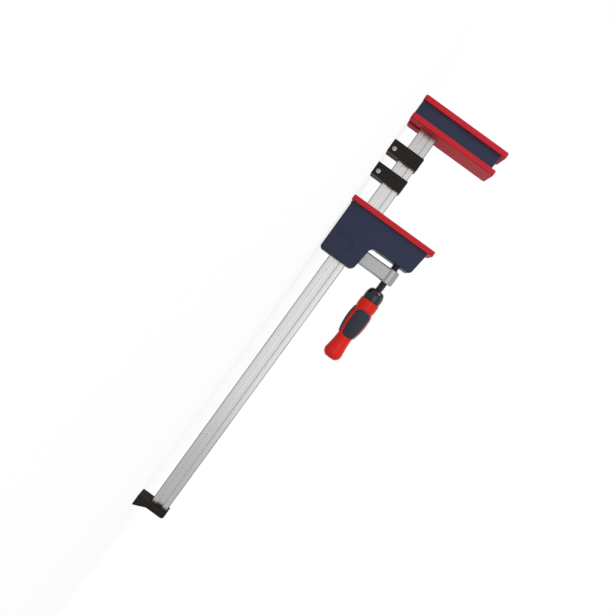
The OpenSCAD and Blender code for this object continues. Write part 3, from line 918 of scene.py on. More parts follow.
@dataclass
class RailBar(SubAssembly):
    """The grooved rail with bite teeth on its narrow edges."""

    groove_width: float = 10.0
    groove_depth: float = 1.8
    tooth_pitch: float = 2.5
    tooth_depth: float = 0.4
    edge_radius: float = 0.9
    groove_lip_radius: float = 0.7
    groove_floor_radius: float = 0.5
    pin_radius: float = 3.0
    small_pin_radius: float = 1.5

    def _length(self, box: Extent, start: float) -> Shape:
        """One tooth's length of the rail's section, with its long edges rounded.

        Args:
            box: Box of the rail.
            start: X of its first end.

        Returns:
            The length of rail.
        """
        end = start + self.tooth_pitch
        surface, along = box.high.y, parallel_to(Axis.X)
        floor = surface - self.groove_depth
        groove = [box.middle.z + side * self.groove_width / 2 for side in SIDES]
        bar = Shape.slab((start, end), surface, (box.low.z, box.high.z))
        for side in SIDES:
            corner = (start - PAST, side * floor, groove[0])
            bar.cut(Shape.block(corner, (end + PAST, side * (surface + PAST), groove[1])))
        bar.eased(self.edge_radius, along, on_plane(Axis.Z, box.low.z, box.high.z))
        surfaces = on_plane(Axis.Y, -surface, surface)
        bar.eased(self.groove_lip_radius, along, surfaces, on_plane(Axis.Z, *groove))
        floors = on_plane(Axis.Y, -floor, floor)
        return bar.eased(self.groove_floor_radius, along, floors, segments=2)

    def _toothed(self, box: Extent) -> Shape:
        """Repeats one tooth along the rail and closes the plain ends.

        Args:
            box: Box of the rail.

        Returns:
            The whole rail.
        """
        pitch = self.tooth_pitch
        count = int(box.size.x / pitch) - 1
        start = box.low.x + pitch / 4
        root = start + pitch / 2
        rail = self._length(box, start).sliced(Axis.X, root)
        mesh = rail.mesh
        flat = box.high.y - self.edge_radius + NEAR
        for z, inward in ((box.low.z, 1), (box.high.z, -1)):
            edge = [v for v in mesh.verts if near(v.co.x, root) and near(v.co.z, z)]
            deepened = [vert for vert in edge if abs(vert.co.y) < flat]
            rail.shifted(deepened, (0, 0, inward * self.tooth_depth))
        ends = [face for face in mesh.faces if near(abs(face.normal.x), 1)]
        bmesh.ops.delete(mesh, geom=ends, context="FACES")
        made = 1
        while made < count:
            batch = min(made, count - made)
            limit = start + batch * pitch
            source = [face for face in mesh.faces if face.calc_center_median().x < limit]
            geom = {part for face in source for part in (face, *face.edges, *face.verts)}
            copied = bmesh.ops.duplicate(mesh, geom=list(geom))["geom"]
            rail.shifted(copied, (made * pitch, 0, 0))
            made += batch
        rail.welded()
        for place, end in ((start, box.low.x), (start + count * pitch, box.high.x)):
            at_place = on_plane(Axis.X, place)
            rim = [edge for edge in mesh.edges if edge.is_boundary and at_place(edge)]
            grown = bmesh.ops.extrude_edge_only(mesh, edges=rim)["geom"]
            rail.shifted(grown, (end - place, 0, 0))
        return rail.closed()

    def build(self) -> None:
        """Builds the rail and dresses the pins in it."""
        box, pins, end_pin = extents("rail", "rail_pins", "end_cap_pin")
        holes = (
            (pins.low.x + self.pin_radius, self.pin_radius),
            (pins.high.x - self.pin_radius, self.pin_radius),
            (end_pin.middle.x, self.small_pin_radius),
        )
        rail = self._toothed(box)
        for x, radius in holes:
            rail.cut(Shape.bore(Axis.Y, (x, 0, box.middle.z), radius, box.size.y, sides=24))
        self.place("rail_bar", rail, Slot.RAIL_STEEL, "rail")
        self.dress(Slot.BRIGHT_STEEL, "rail_pins")
        self.dress(Slot.BLACK_STEEL, "end_cap_pin")


@dataclass(frozen=True)
class PressureCap:
    """A red cap, and the flange of the jaw housing that it slides over."""

    part: str
    facing: Facing
    slotted: bool = True
    face_thickness: float = 3.5
    flange_thickness: float = 2.5
    flange_radius: float = 2.0
    neck_step: float = 0.2
    lip_depth: float = 2.0
    tip_wall: float = 3.0
    tip_step: float = 7.5
    clearance: float = 0.2
    slot_width: float = 10.2
    slot_head_room: float = 0.6
    slot_radius: float = 0.4
    corner_radius: float = 4.0
    face_radius: float = 1.5
    back_radius: float = 0.8

    def _ends(self, box: Extent) -> Span:
        """The end of a box that the cap's face looks from, and the other end."""
        return (box.low.x, box.high.x)[:: -self.facing.value]

    def flange(self, housing: Extent, neck_length: float) -> Shape:
        """The flange of the housing, and the neck behind it.

        Args:
            housing: Box of the housing.
            neck_length: Length of the neck behind the flange's face.

        Returns:
            The flange with its neck.
        """
        inward, face = -self.facing.value, self._ends(housing)[0]
        half, low, high = housing.size.y / 2, housing.low.z, housing.high.z
        back = face + inward * self.flange_thickness
        plate = Shape.slab((face, back), half, (low, high))
        plate.eased(self.flange_radius, parallel_to(Axis.X), segments=4)
        along = (face + inward * self.neck_step, face + inward * neck_length)
        neck_top = high + self.tip_wall + self.clearance - self.tip_step - self.lip_depth
        return plate.added(Shape.slab(along, half - self.lip_depth, (low, neck_top)))

    def shape(self, box: Extent, housing: Extent) -> Shape:
        """Builds the cap.

        Args:
            box: Box of the cap's CAD node.
            housing: Box of the housing that it slides on.

        Returns:
            The cap.
        """
        inward = -self.facing.value
        face, back = self._ends(box)
        past, below = back + inward * PAST, box.low.z - PAST
        floor = face + inward * self.face_thickness
        room = floor + inward * (self.flange_thickness + 2 * self.clearance)
        half = housing.size.y / 2 + self.clearance
        neck_top = box.high.z - self.tip_step - self.lip_depth + self.clearance
        cap = Shape.block(box.low, box.high)
        cap.eased(self.corner_radius, parallel_to(Axis.X), segments=8)
        cap.eased(self.face_radius, on_plane(Axis.X, face), segments=4)
        cap.eased(self.back_radius, on_plane(Axis.X, back))
        cap.cut(
            Shape.slab((floor, room), half, (below, box.high.z - self.tip_wall)),
            Shape.slab((floor, past), half - self.lip_depth, (below, neck_top)),
        )
        if self.slotted:
            slot = self.slot_width / 2
            top = extents("rail")[0].high.z + self.slot_head_room
            cap.cut(Shape.slab((face - inward * PAST, past), slot, (below, top)))
            mouth = (between(Axis.Y, -slot, slot), between(Axis.Z, below, top))
            cap.eased(self.slot_radius, on_plane(Axis.X, face), *mouth)
        return cap


@dataclass(frozen=True)
class BackScrew:
    """A countersunk screw along Z with a cross recess, its head at the back."""

    shank_radius: float = 2.0
    head_radius: float = 3.6
    head_height: float = 2.2
    head_edge: float = 0.15
    point_length: float = 0.6
    point_step: float = 0.5
    recess: CrossRecess = CrossRecess(1.4)
    shank_play: float = 0.1
    head_play: float = 0.2
    steps: int = 32

    def places(self, screws: Extent) -> Span:
        """Places of two screws along the rail, from their node's box."""
        return screws.low.x + self.head_radius, screws.high.x - self.head_radius

    def hole(self, x: float, back: float, wall: float) -> Shape:
        """The countersunk hole for the screw.

        Args:
            x: Its place along the rail.
            back: Z of the housing's back.
            wall: Wall that it passes.

        Returns:
            What is cut out of the housing.
        """
        shank, head = self.shank_radius + self.shank_play, self.head_radius + self.head_play
        cone = [(self.head_play, head), (self.head_height + self.head_play, shank)]
        profile = [(-PAST, 0), (-PAST, head), *cone, (wall + PAST, shank), (wall + PAST, 0)]
        return Shape.turned(Axis.Z, (x, 0, back), profile, steps=self.steps)

    def shape(self, x: float, screws: Extent) -> Shape:
        """Builds the screw.

        Args:
            x: Its place along the rail.
            screws: Box of the screws' node.

        Returns:
            The screw.
        """
        shank, head, length = self.shank_radius, self.head_radius, screws.size.z
        centre = (x, 0, screws.low.z)
        top = [(0, 0), (0, head - self.head_edge), (self.head_edge, head)]
        sides = [(self.head_height, shank), (length - self.point_length, shank)]
        point = [(length, shank - self.point_step), (length, 0)]
        screw = Shape.turned(Axis.Z, centre, [*top, *sides, *point], steps=self.steps)
        return screw.cut(*self.recess.bars(Axis.Z, centre))


@dataclass
class Jaw(SubAssembly):
    """What both jaws have: a hollow housing, pressure caps, back screws and a core."""

    name: str
    caps: tuple[PressureCap, ...] = ()
    screw: BackScrew = BackScrew()
    wall: float = 3.0
    cap_gap: float = 0.1

    def _housing(self) -> Shape:
        """Builds the hollow housing."""
        raise NotImplementedError

    def _piece(self, part: str, shape: Shape, slot: Slot, node_part: str) -> None:
        """Places a piece of the jaw that is named after it."""
        self.place(f"{self.name}_{part}", shape, slot, f"{self.name}_jaw_{node_part}")

    def build(self) -> None:
        """Builds the housing, caps and screws, and dresses the core."""
        jaw = f"{self.name}_jaw"
        box, screws = extents(f"{jaw}_housing", f"{jaw}_screws")
        places = self.screw.places(screws)
        holes = [self.screw.hole(x, box.low.z, self.wall) for x in places]
        self._piece("housing", self._housing().cut(*holes), Slot.NAVY_PLASTIC, "housing")
        for cap in self.caps:
            shape = cap.shape(*extents(f"{jaw}_{cap.part}"), box)
            self._piece(cap.part, shape, Slot.CAP_RED, cap.part)
        for number, x in enumerate(places, 1):
            shape = self.screw.shape(x, screws)
            self._piece(f"back_screw_{number}", shape, Slot.BRIGHT_STEEL, "screws")
        self.dress(Slot.FORGED_STEEL, f"{jaw}_core")


@dataclass
class FixedJaw(Jaw):
    """The jaw pinned to the rail's end, with a cap on each of its faces."""

    caps: tuple[PressureCap, ...] = (
        PressureCap("front_cap", Facing.TO_SLIDING_END),
        PressureCap("rear_cap", Facing.TO_FIXED_END, slotted=False),
    )
    neck_overlap: float = 0.5
    edge_radius: float = 1.0
    tip_radius: float = 2.0
    panel_width: float = 14.0
    panel_length: float = 66.0
    panel_from_tip: float = 7.0
    panel_depth: float = 0.4
    panel_radius: float = 3.0
    panel_rim_radius: float = 0.25

    def _panelled(self, body: Shape, half: float, middle: float, tip: float) -> Shape:
        """Sinks a shallow bare panel into each side of the housing.

        Args:
            body: The housing.
            half: Half of its width.
            middle: Its middle along the rail.
            tip: Z of its tip.

        Returns:
            The housing.
        """
        low, high = middle - self.panel_width / 2, middle + self.panel_width / 2
        top = tip - self.panel_from_tip
        bottom = top - self.panel_length
        for side in SIDES:
            floor, outside = side * (half - self.panel_depth), side * (half + PAST)
            panel = Shape.block((low, floor, bottom), (high, outside, top))
            body.cut(panel.eased(self.panel_radius, parallel_to(Axis.Y), segments=6))
        rim = (between(Axis.X, low, high), between(Axis.Z, bottom, top))
        sides = on_plane(Axis.Y, -half, half)
        return body.eased(self.panel_rim_radius, sides, *rim, segments=2)

    def _housing(self) -> Shape:
        """Builds the hollow housing with both flanges.

        Returns:
            The housing.
        """
        names = ("fixed_jaw_housing", "fixed_jaw_rear_cap", "fixed_jaw_front_cap", "rail")
        box, rear, front, rail = extents(*names)
        front_cap, rear_cap = self.caps
        half, tip = box.size.y / 2, rear.high.z - rear_cap.tip_step
        start, end = rear.high.x + self.cap_gap, front.low.x - self.cap_gap
        body = Shape.slab((start, end), half, (box.low.z, tip))
        body.eased(self.tip_radius, on_plane(Axis.Z, tip), parallel_to(Axis.X), segments=5)
        body.eased(self.edge_radius)
        body.added(
            rear_cap.flange(box, start - box.low.x + self.neck_overlap),
            front_cap.flange(box, box.high.x - end + self.neck_overlap),
        )
        inside, room = box.high.x - self.wall, half - rear_cap.lip_depth - self.wall
        slot = (box.low.z - PAST, rail.high.z + front_cap.slot_head_room)
        body.cut(
            Shape.slab((box.low.x - PAST, inside), room, (box.low.z + self.wall, tip - self.wall)),
            Shape.slab((inside - PAST, box.high.x + PAST), front_cap.slot_width / 2, slot),
        )
        return self._panelled(body, half, (start + end) / 2, tip)


@dataclass
class SlidingJaw(Jaw):
    """The jaw that slides on the rail and is pressed by the spindle."""

    caps: tuple[PressureCap, ...] = (PressureCap("cap", Facing.TO_FIXED_END),)
    nose_length: float = 47.0
    front_draft: float = 4.0
    nose_draft: float = 4.0
    front_depth: float = 15.5
    fillet_radius: float = 7.0
    tip_radius: float = 5.0
    front_end_radius: float = 7.5
    back_end_radius: float = 4.0
    rim_radius: float = 1.8
    edge_radius: float = 0.5
    rail_gap: float = 0.6
    stroke: float = 6.0
    arm_inset: float = 0.6
    arm_gap: float = 0.5
    window_half_width: float = 10.3
    window_depth: float = 4.0
    window_radius: float = 1.5
    screw_hole_radius: float = 6.75
    screw_hole_length: float = 6.0
    screw_hole_edge: float = 0.4
    oval_width: float = 17.0
    oval_length: float = 33.0
    oval_depth: float = 0.7
    oval_from_face: float = 66.0
    oval_height: float = 27.0

    def _outline(self, inset: float, start: float, half: float) -> Shape:
        """The housing's side outline as a prism with its corners rounded.

        Args:
            inset: How far the outline is drawn in.
            start: X of the outline's first side.
            half: Half of the prism's width.

        Returns:
            The prism.
        """
        jaw, cap, rail = extents("sliding_jaw_housing", "sliding_jaw_cap", "rail")
        low, end = jaw.low.z + inset, jaw.high.x - inset
        front = rail.high.z + self.front_depth - inset
        nose = cap.low.x + self.nose_length - inset
        tip = cap.high.z - self.caps[0].tip_step - inset
        rounded = (
            (end, low, self.back_end_radius - inset),
            (end, front - self.front_draft, self.front_end_radius - inset),
            (nose, front, self.fillet_radius + inset),
            (nose, tip - self.nose_draft, self.tip_radius - inset),
        )
        corners = [(start, low), *((x, z) for x, z, _ in rounded), (start, tip)]
        prism = Shape.prism(corners, half)
        for x, z, radius in rounded:
            prism.eased(radius, on_plane(Axis.X, x), on_plane(Axis.Z, z), segments=8)
        return prism

    def _oval(self, centre: Point) -> Shape:
        """The shallow oval that stays bare on one side.

        Args:
            centre: Its centre, on the housing's side.

        Returns:
            What is cut out of the housing.
        """
        disc = Shape.rod(Axis.Y, (0, 0, 0), radius=0.5, length=2 * self.oval_depth, sides=64)
        stretch = Matrix.Diagonal((self.oval_width, 1, self.oval_length, 1))
        return disc.moved(Matrix.Translation(centre) @ stretch)

    def _openings(self, jaw: Extent, nose: float) -> list[Shape]:
        """What is cut out for the slide arm, the rail and the spindle.

        Args:
            jaw: Box of the housing.
            nose: X of the housing's nose.

        Returns:
            The three openings.
        """
        arm, rail, nut = extents("slide_arm", "rail", "spindle_nut")
        travel = self.stroke + self.arm_gap - self.arm_inset
        front = rail.high.z + self.front_depth
        heights = (front - self.front_draft - self.window_depth, front + self.fillet_radius + PAST)
        along = (arm.low.x - travel, arm.high.x + travel)
        window = Shape.slab(along, self.window_half_width, heights)
        end = (jaw.high.x - self.wall - PAST, jaw.high.x + PAST)
        passage = (rail.low.z - self.rail_gap, rail.high.z + self.rail_gap)
        centre = (nose - PAST, 0, nut.middle.z)
        return [
            window.eased(self.window_radius, parallel_to(Axis.Z)),
            Shape.slab(end, self.caps[0].slot_width / 2, passage),
            Shape.rod(Axis.X, centre, self.screw_hole_radius, self.screw_hole_length, sides=48),
        ]

    def _housing(self) -> Shape:
        """Builds the hollow housing.

        Returns:
            The housing.
        """
        jaw, cap, nut = extents("sliding_jaw_housing", "sliding_jaw_cap", "spindle_nut")
        half, start = jaw.size.y / 2, cap.high.x + self.cap_gap
        nose, oval_x = cap.low.x + self.nose_length, cap.low.x + self.oval_from_face
        body = self._outline(0, start, half)
        behind_start = between(Axis.X, start + 2 * NEAR, jaw.high.x)
        body.eased(self.rim_radius, on_plane(Axis.Y, -half, half), behind_start, segments=5)
        body.eased(self.edge_radius, on_plane(Axis.X, start), segments=2)
        body.added(self.caps[0].flange(jaw, start + PAST - jaw.low.x))
        body.cut(self._outline(self.wall, jaw.low.x - PAST, half - self.wall))
        ovals = [self._oval((oval_x, side * half, self.oval_height)) for side in SIDES]
        body.cut(*self._openings(jaw, nose), *ovals)
        reach, axis_z = self.screw_hole_radius, nut.middle.z
        rim = (between(Axis.Y, -reach, reach), between(Axis.Z, axis_z - reach, axis_z + reach))
        return body.eased(self.screw_hole_edge, on_plane(Axis.X, nose), *rim, segments=2)

    def build(self) -> None:
        """Builds what every jaw has, and dresses the guides and the thrust cup."""
        super().build()
        self.dress(Slot.BLACK_PLASTIC, "upper_rail_guide", "lower_rail_guide")
        self.dress(Slot.BRIGHT_STEEL, "thrust_cup")


@dataclass
class SlideArm(SubAssembly):
    """The forged arm that bites on the rail and carries the spindle's nut."""

    width: float = 20.0
    edge_radius: float = 2.4
    eye_proud: float = 0.6
    eye_radius: float = 1.2
    rail_gap: float = 0.3
    bite_radius: float = 2.5
    nut_radius: float = 8.5
    nut_edge: float = 0.4
    bore_step: float = 1.25
    nut_flange_thickness: float = 1.5
    nut_flange_radius: float = 10.3
    nut_flange_edge: float = 0.3
    nut_flange_gap: float = 0.2

    def _arm(self, box: Extent, nut: Extent) -> Shape:
        """Builds the arm with its eye and its holes.

        Args:
            box: Box of the arm.
            nut: Box of the nut.

        Returns:
            The arm.
        """
        bites = extents("bite_pins")[0]
        low, high, axis_z = box.low.x, box.high.x, nut.middle.z
        centre = (box.middle.x, 0, axis_z)
        along = (low + self.eye_proud, high - self.eye_proud)
        arm = Shape.slab(along, self.width / 2, (box.low.z, axis_z))
        below_eye = between(Axis.Z, box.low.z, axis_z - 2 * NEAR)
        arm.eased(self.edge_radius, below_eye, segments=5)
        eye = Shape.rod(Axis.X, centre, box.high.z - axis_z, box.size.x, sides=64)
        arm.added(eye.eased(self.eye_radius, on_plane(Axis.X, low, high), segments=4))
        flange = self.nut_flange_radius + self.nut_flange_gap
        arm.cut(
            rail_passage((low - PAST, high + PAST), self.rail_gap),
            Shape.bore(Axis.X, centre, self.nut_radius, box.size.x, sides=64),
            Shape.rod(Axis.X, (high, 0, axis_z), flange, 2 * self.nut_flange_thickness, sides=64),
        )
        for corner, way in ((bites.high, -self.bite_radius), (bites.low, self.bite_radius)):
            pin = (corner.x + way, 0, corner.z + way)
            arm.cut(Shape.bore(Axis.Y, pin, self.bite_radius, self.width, sides=32))
        return arm

    def _nut(self, nut: Extent) -> Shape:
        """Builds the flanged nut, with a plain bore.

        Args:
            nut: Box of the nut.

        Returns:
            The nut.
        """
        bore = extents("retaining_ring")[0].size.y / 2 + self.bore_step
        radius, edge = self.nut_radius, self.nut_edge
        flange, rim, length = self.nut_flange_radius, self.nut_flange_edge, nut.size.x
        step = length - self.nut_flange_thickness
        profile = [
            *((0, bore + edge), (0, radius - edge), (edge, radius), (step, radius)),
            *((step, flange - rim), (step + rim, flange), (length - rim, flange)),
            *((length, flange - rim), (length, bore + edge), (length - edge, bore), (edge, bore)),
        ]
        return Shape.turned(Axis.X, (nut.low.x, 0, nut.middle.z), profile, ring=True)

    def build(self) -> None:
        """Builds the arm and its nut, and dresses the brake and bite pins."""
        box, nut = extents("slide_arm", "spindle_nut")
        self.place("forged_arm", self._arm(box, nut), Slot.FORGED_STEEL, "slide_arm")
        self.place("arm_nut", self._nut(nut), Slot.NUT_BRONZE, "spindle_nut")
        self.dress(Slot.BRIGHT_STEEL, "bite_pins", "brake_spring")
        self.dress(Slot.BLACK_PLASTIC, "brake_shoe")


@dataclass
class ScrewHandle(SubAssembly):
    """The threaded spindle and the two-colour handle on it.

    Ends are distances from the piece's end that their method names. Profiles hold such a
    distance and a step in radius, and the thread's holds shares of its pitch and depth.
    """

    pitch: float = 3.0
    thread_depth: float = 1.25
    thread_steps: int = 32
    thread_weld: float = 0.001
    thread_shape: Profile = ((0, 0), (0.15, 0), (0.35, 1), (0.65, 1), (0.85, 0), (1, 0))
    spindle_radius: float = 6.0
    spindle_steps: int = 32
    thrust_radius: float = 4.0
    thrust_edge: float = 0.5
    ring_groove_radius: float = 3.3
    ring_gap: float = 0.1
    shank_radius: float = 4.5
    shank_edge: float = 0.5
    root_sunk: float = 0.02
    root_ends: Span = (-2.0, 4.0)
    shoulder: float = 44.2
    ferrule_length: float = 20.5
    ferrule_radius: float = 14.5
    ferrule_lip: float = 1.5
    ferrule_gap: float = 0.1
    dome_steps: int = 20
    dome_stretch: float = 1.6
    groove_ends: Span = (2.2, 1.0)
    groove_slope: float = 0.3
    groove_depth: float = 0.5
    collar_length: float = 15.0
    collar_radius: float = 15.5
    collar_start: Profile = ((0, 1), (0.3, 0.35), (1, 0))
    collar_end: Profile = ((1.6, 0), (1.0, 0.2))
    grip_length: float = 50.0
    grip_radius: float = 17.5
    grip_bulge_at: float = 0.4
    grip_steps: int = 24
    tail_length: float = 39.5
    tail_radius: float = 14.9
    tail_end_radius: float = 9.5
    neck_radius: float = 12.0
    flare_at: float = 0.75
    flare_power: float = 1.6
    panel_proud: float = 0.8
    panel_sunk: float = 0.3
    panel_thickness: float = 1.4
    panel_width: float = 25.0
    panel_inset: float = 1.2
    panel_corner: float = 9.0
    panel_edge: float = 2.4
    panel_turns: Point = (-10.0, 110.0, 230.0)
    panel_grid: tuple[int, int] = (56, 32)
    rib_width: float = 5.0
    socket_radius: float = 7.0
    socket_length: float = 14.0
    socket_edge: float = 0.5
    socket_floor: float = 3.0
    socket_mouth: float = 0.6
    hex_across: float = 8.0
    hex_lead: Profile = ((-1.2, -0.6), (0.2, 0.5))
    pin_radius: float = 1.5

    def __post_init__(self) -> None:
        """Reads the handle's place from the frame."""
        cap, nut, self.spindle, ferrule = extents(
            "sliding_jaw_cap", "spindle_nut", "spindle", "handle_ferrule"
        )
        self.face, self.axis_z, self.top = cap.low.x, nut.middle.z, ferrule.low.x
        self.root = self.spindle_radius - self.thread_depth
        self.collar = self.top + self.ferrule_length
        self.grip = self.collar + self.collar_length
        self.tail = self.grip + self.grip_length
        self.tip = self.tail + self.tail_length

    def _turned(self, profile: Profile, ring: bool = False, steps: int = 64) -> Shape:
        """Turns a profile given by X about the spindle's axis."""
        return Shape.turned(Axis.X, (0, 0, self.axis_z), profile, ring, steps)

    def _thread(self, start: float, end: float) -> Shape:
        """A right-hand helical thread between two places.

        Args:
            start: First X.
            end: Last X.

        Returns:
            The threaded rod, with flat ends.
        """
        shape, pitch, steps = Shape(), self.pitch, self.thread_steps
        turns = math.ceil((end - start) / pitch) + 2
        profile = [
            ((share - 1) * pitch, self.root + rise * self.thread_depth)
            for share, rise in self.thread_shape
        ]
        step = (0, 0, pitch / steps)
        shape.spun(profile, steps * turns, angle=math.tau * turns, dvec=step)
        bmesh.ops.remove_doubles(shape.mesh, verts=shape.mesh.verts, dist=self.thread_weld)
        shape.sliced(Axis.Z, 0, -1).sliced(Axis.Z, end - start, 1).closed()
        return shape.moved(Matrix.Translation((start, 0, self.axis_z)) @ Axis.X.upright)

    def _spindle(self) -> Shape:
        """Builds the spindle: thrust end, thread and the shank in the handle.

        Returns:
            The spindle.
        """
        ring, low, high = extents("retaining_ring")[0], self.spindle.low.x, self.spindle.high.x
        shoulder, thrust, shank = self.face + self.shoulder, self.thrust_radius, self.shank_radius
        groove = (ring.low.x - self.ring_gap, ring.high.x + self.ring_gap)
        thrust_end = [
            *((low, 0), (low, thrust - self.thrust_edge), (low + self.thrust_edge, thrust)),
            *((groove[0], thrust), (groove[0], self.ring_groove_radius)),
            *((groove[1], self.ring_groove_radius), (groove[1], thrust)),
            *((shoulder + PAST, thrust), (shoulder + PAST, 0)),
        ]
        start, step = (self.top + end for end in self.root_ends)
        root = self.root - self.root_sunk
        shank_end = [
            *((start, 0), (start, root), (step, root), (step, shank)),
            *((high - self.shank_edge, shank), (high, shank - self.shank_edge), (high, 0)),
        ]
        ends = [self._turned(part, steps=self.spindle_steps) for part in (thrust_end, shank_end)]
        return self._thread(shoulder, self.top - PAST).added(*ends).cut(self._pin_hole())

    def _pin_hole(self) -> Shape:
        """The hole for the cross pin, through collar and spindle.

        Returns:
            What is cut out of both.
        """
        centre = (extents("handle_pin")[0].middle.x, 0, self.axis_z)
        length = 2 * (self.collar_radius + PAST)
        return Shape.bore(Axis.Z, centre, self.pin_radius, length, sides=24)

    def _ferrule(self) -> Shape:
        """Builds the domed ferrule above the collar, with a groove near its edge.

        Returns:
            The ferrule.
        """
        bore, lip = self.root + PLAY, self.spindle_radius + self.ferrule_lip
        radius, end = self.ferrule_radius, self.collar - self.ferrule_gap
        far, close = (self.collar - distance for distance in self.groove_ends)
        slope, floor = self.groove_slope, radius - self.groove_depth
        dome = []
        for t in (step / self.dome_steps for step in range(self.dome_steps + 1)):
            rise = math.sqrt(1 - (1 - min(1, self.dome_stretch * t)) ** 2)
            dome.append((self.top + self.ferrule_length * t, lip + (radius - lip) * rise))
        groove = [(far, radius), (far + slope, floor), (close - slope, floor), (close, radius)]
        kept = [point for point in dome if point[0] < far]
        profile = [(self.top, bore), *kept, *groove, (end, radius), (end, bore)]
        return self._turned(profile, ring=True)

    def _grip_radius(self, x: float) -> float:
        """Radius of the red core along the grip, without its panels.

        Args:
            x: Place along the handle.

        Returns:
            The radius.
        """
        bulge = self.grip_bulge_at
        t = ((x - self.grip) / self.grip_length - bulge) / (1 - bulge)
        core = self.grip_radius - self.panel_proud
        return core - (core - self.neck_radius) * t**2

    def _tail_radius(self, x: float) -> float:
        """Radius of the handle's red end.

        Args:
            x: Place along the handle.

        Returns:
            The radius.
        """
        t = (x - self.tail) / self.tail_length
        if t < self.flare_at:
            flare = (t / self.flare_at) ** self.flare_power
            return self.neck_radius + (self.tail_radius - self.neck_radius) * flare
        drop = 1 - (self.tail_end_radius / self.tail_radius) ** 2
        return self.tail_radius * math.sqrt(
            1 - drop * ((t - self.flare_at) / (1 - self.flare_at)) ** 2
        )

    def _core(self) -> Shape:
        """Builds the red core: collar, grip and flared end, with its holes.

        Returns:
            The core.
        """
        steps, bore, edge = self.grip_steps, self.shank_radius + PLAY, self.collar_radius
        socket, mouth = self.socket_radius + PLAY, self.socket_mouth
        floor = self.tip - self.socket_length
        grip = [self.grip + self.grip_length * step / steps for step in range(steps + 1)]
        tail = [self.tail + self.tail_length * step / steps for step in range(1, steps + 1)]
        profile = [
            (self.collar, bore),
            *((self.collar + past, edge - drop) for past, drop in self.collar_start),
            *((self.grip - short, edge - drop) for short, drop in self.collar_end),
            *((x, self._grip_radius(x)) for x in grip),
            *((x, self._tail_radius(x)) for x in tail),
            *((self.tip, socket + mouth), (self.tip - mouth, socket)),
            *((floor, socket), (floor, bore)),
        ]
        return self._turned(profile, ring=True).cut(self._pin_hole())

    def _panel_half_angle(self, along: float, radius: float) -> float:
        """Half of the angle that a panel spans at one place along the grip.

        Args:
            along: Distance from the panel's middle.
            radius: Radius of the grip there.

        Returns:
            The half angle in radians.
        """
        corner = self.panel_corner
        past = abs(along) - (self.grip_length / 2 - self.panel_inset - corner)
        drop = corner - math.sqrt(max(corner**2 - max(past, 0) ** 2, 0))
        rib = math.pi / 3 - math.asin(self.rib_width / 2 / radius)
        return min(math.asin((self.panel_width / 2 - drop) / radius), rib)

    def _panel(self, turn: float) -> Shape:
        """One pillow-shaped soft panel, sunk a little into the core at its rim.

        Args:
            turn: Angle of the panel about the spindle, in degrees.

        Returns:
            The panel, closed by its own thickness.
        """
        shape = Shape()
        mesh, columns, rows = shape.mesh, *self.panel_grid
        reach = self.grip_length / 2 - self.panel_inset
        middle = self.grip + self.grip_length / 2
        bmesh.ops.create_grid(mesh, x_segments=columns, y_segments=rows, size=1.0)
        for vert in mesh.verts:
            u, v = (math.sin(value * math.pi / 2) for value in vert.co.xy)
            along = u * reach
            core = self._grip_radius(middle + along)
            half_angle = self._panel_half_angle(along, core)
            rim = min(reach - abs(along), (1 - abs(v)) * half_angle * core)
            swell = math.sqrt(1 - (1 - min(rim / self.panel_edge, 1)) ** 2)
            radius = core - self.panel_sunk + (self.panel_proud + self.panel_sunk) * swell
            angle = half_angle * v
            vert.co = (along, -radius * math.cos(angle), radius * math.sin(angle))
        bmesh.ops.recalc_face_normals(mesh, faces=mesh.faces)
        if sum(face.normal.y for face in mesh.faces) > 0:
            bmesh.ops.reverse_faces(mesh, faces=mesh.faces)
        bmesh.ops.solidify(mesh, geom=mesh.faces, thickness=self.panel_thickness)
        turning = Matrix.Rotation(math.radians(turn), 4, "X")
        return shape.moved(Matrix.Translation((middle, 0, self.axis_z)) @ turning)

    def _drive_socket(self) -> Shape:
        """Builds the steel socket in the handle's end.

        Returns:
            The socket.
        """
        edge, radius = self.socket_edge, self.socket_radius
        start, end = self.tip - self.socket_length, self.tip - edge
        corner = self.hex_across / 2 / math.cos(math.pi / 6)
        rim = [(end - edge, radius), (end, radius - edge), (end, 0)]
        body = self._turned([(start, 0), (start, radius), *rim])
        floor = start + self.socket_floor
        centre = ((floor + self.tip) / 2, 0, self.axis_z)
        hexagon = Shape.rod(Axis.X, centre, corner, self.tip - floor, sides=6)
        slope = [(end + past, corner + wider) for past, wider in self.hex_lead]
        lead = [(slope[0][0], 0), *slope, (slope[1][0], 0)]
        return body.cut(hexagon, self._turned(lead, steps=32))

    def build(self) -> None:
        """Builds the spindle and the handle, and dresses ring and pin."""
        self.place("threaded_spindle", self._spindle(), Slot.BLACK_STEEL, "spindle")
        self.place("domed_ferrule", self._ferrule(), Slot.FERRULE_NAVY, "handle_ferrule")
        self.place("red_core", self._core(), Slot.HANDLE_RED, "handle_core")
        for number, turn in enumerate(self.panel_turns, 1):
            panel = self._panel(turn)
            self.place(f"soft_panel_{number}", panel, Slot.GRIP_NAVY, "handle_grip_panels")
        self.place("drive_socket", self._drive_socket(), Slot.BLACK_STEEL, "hex_drive_socket")
        self.dress(Slot.BRIGHT_STEEL, "retaining_ring")
        self.dress(Slot.BLACK_STEEL, "handle_pin")


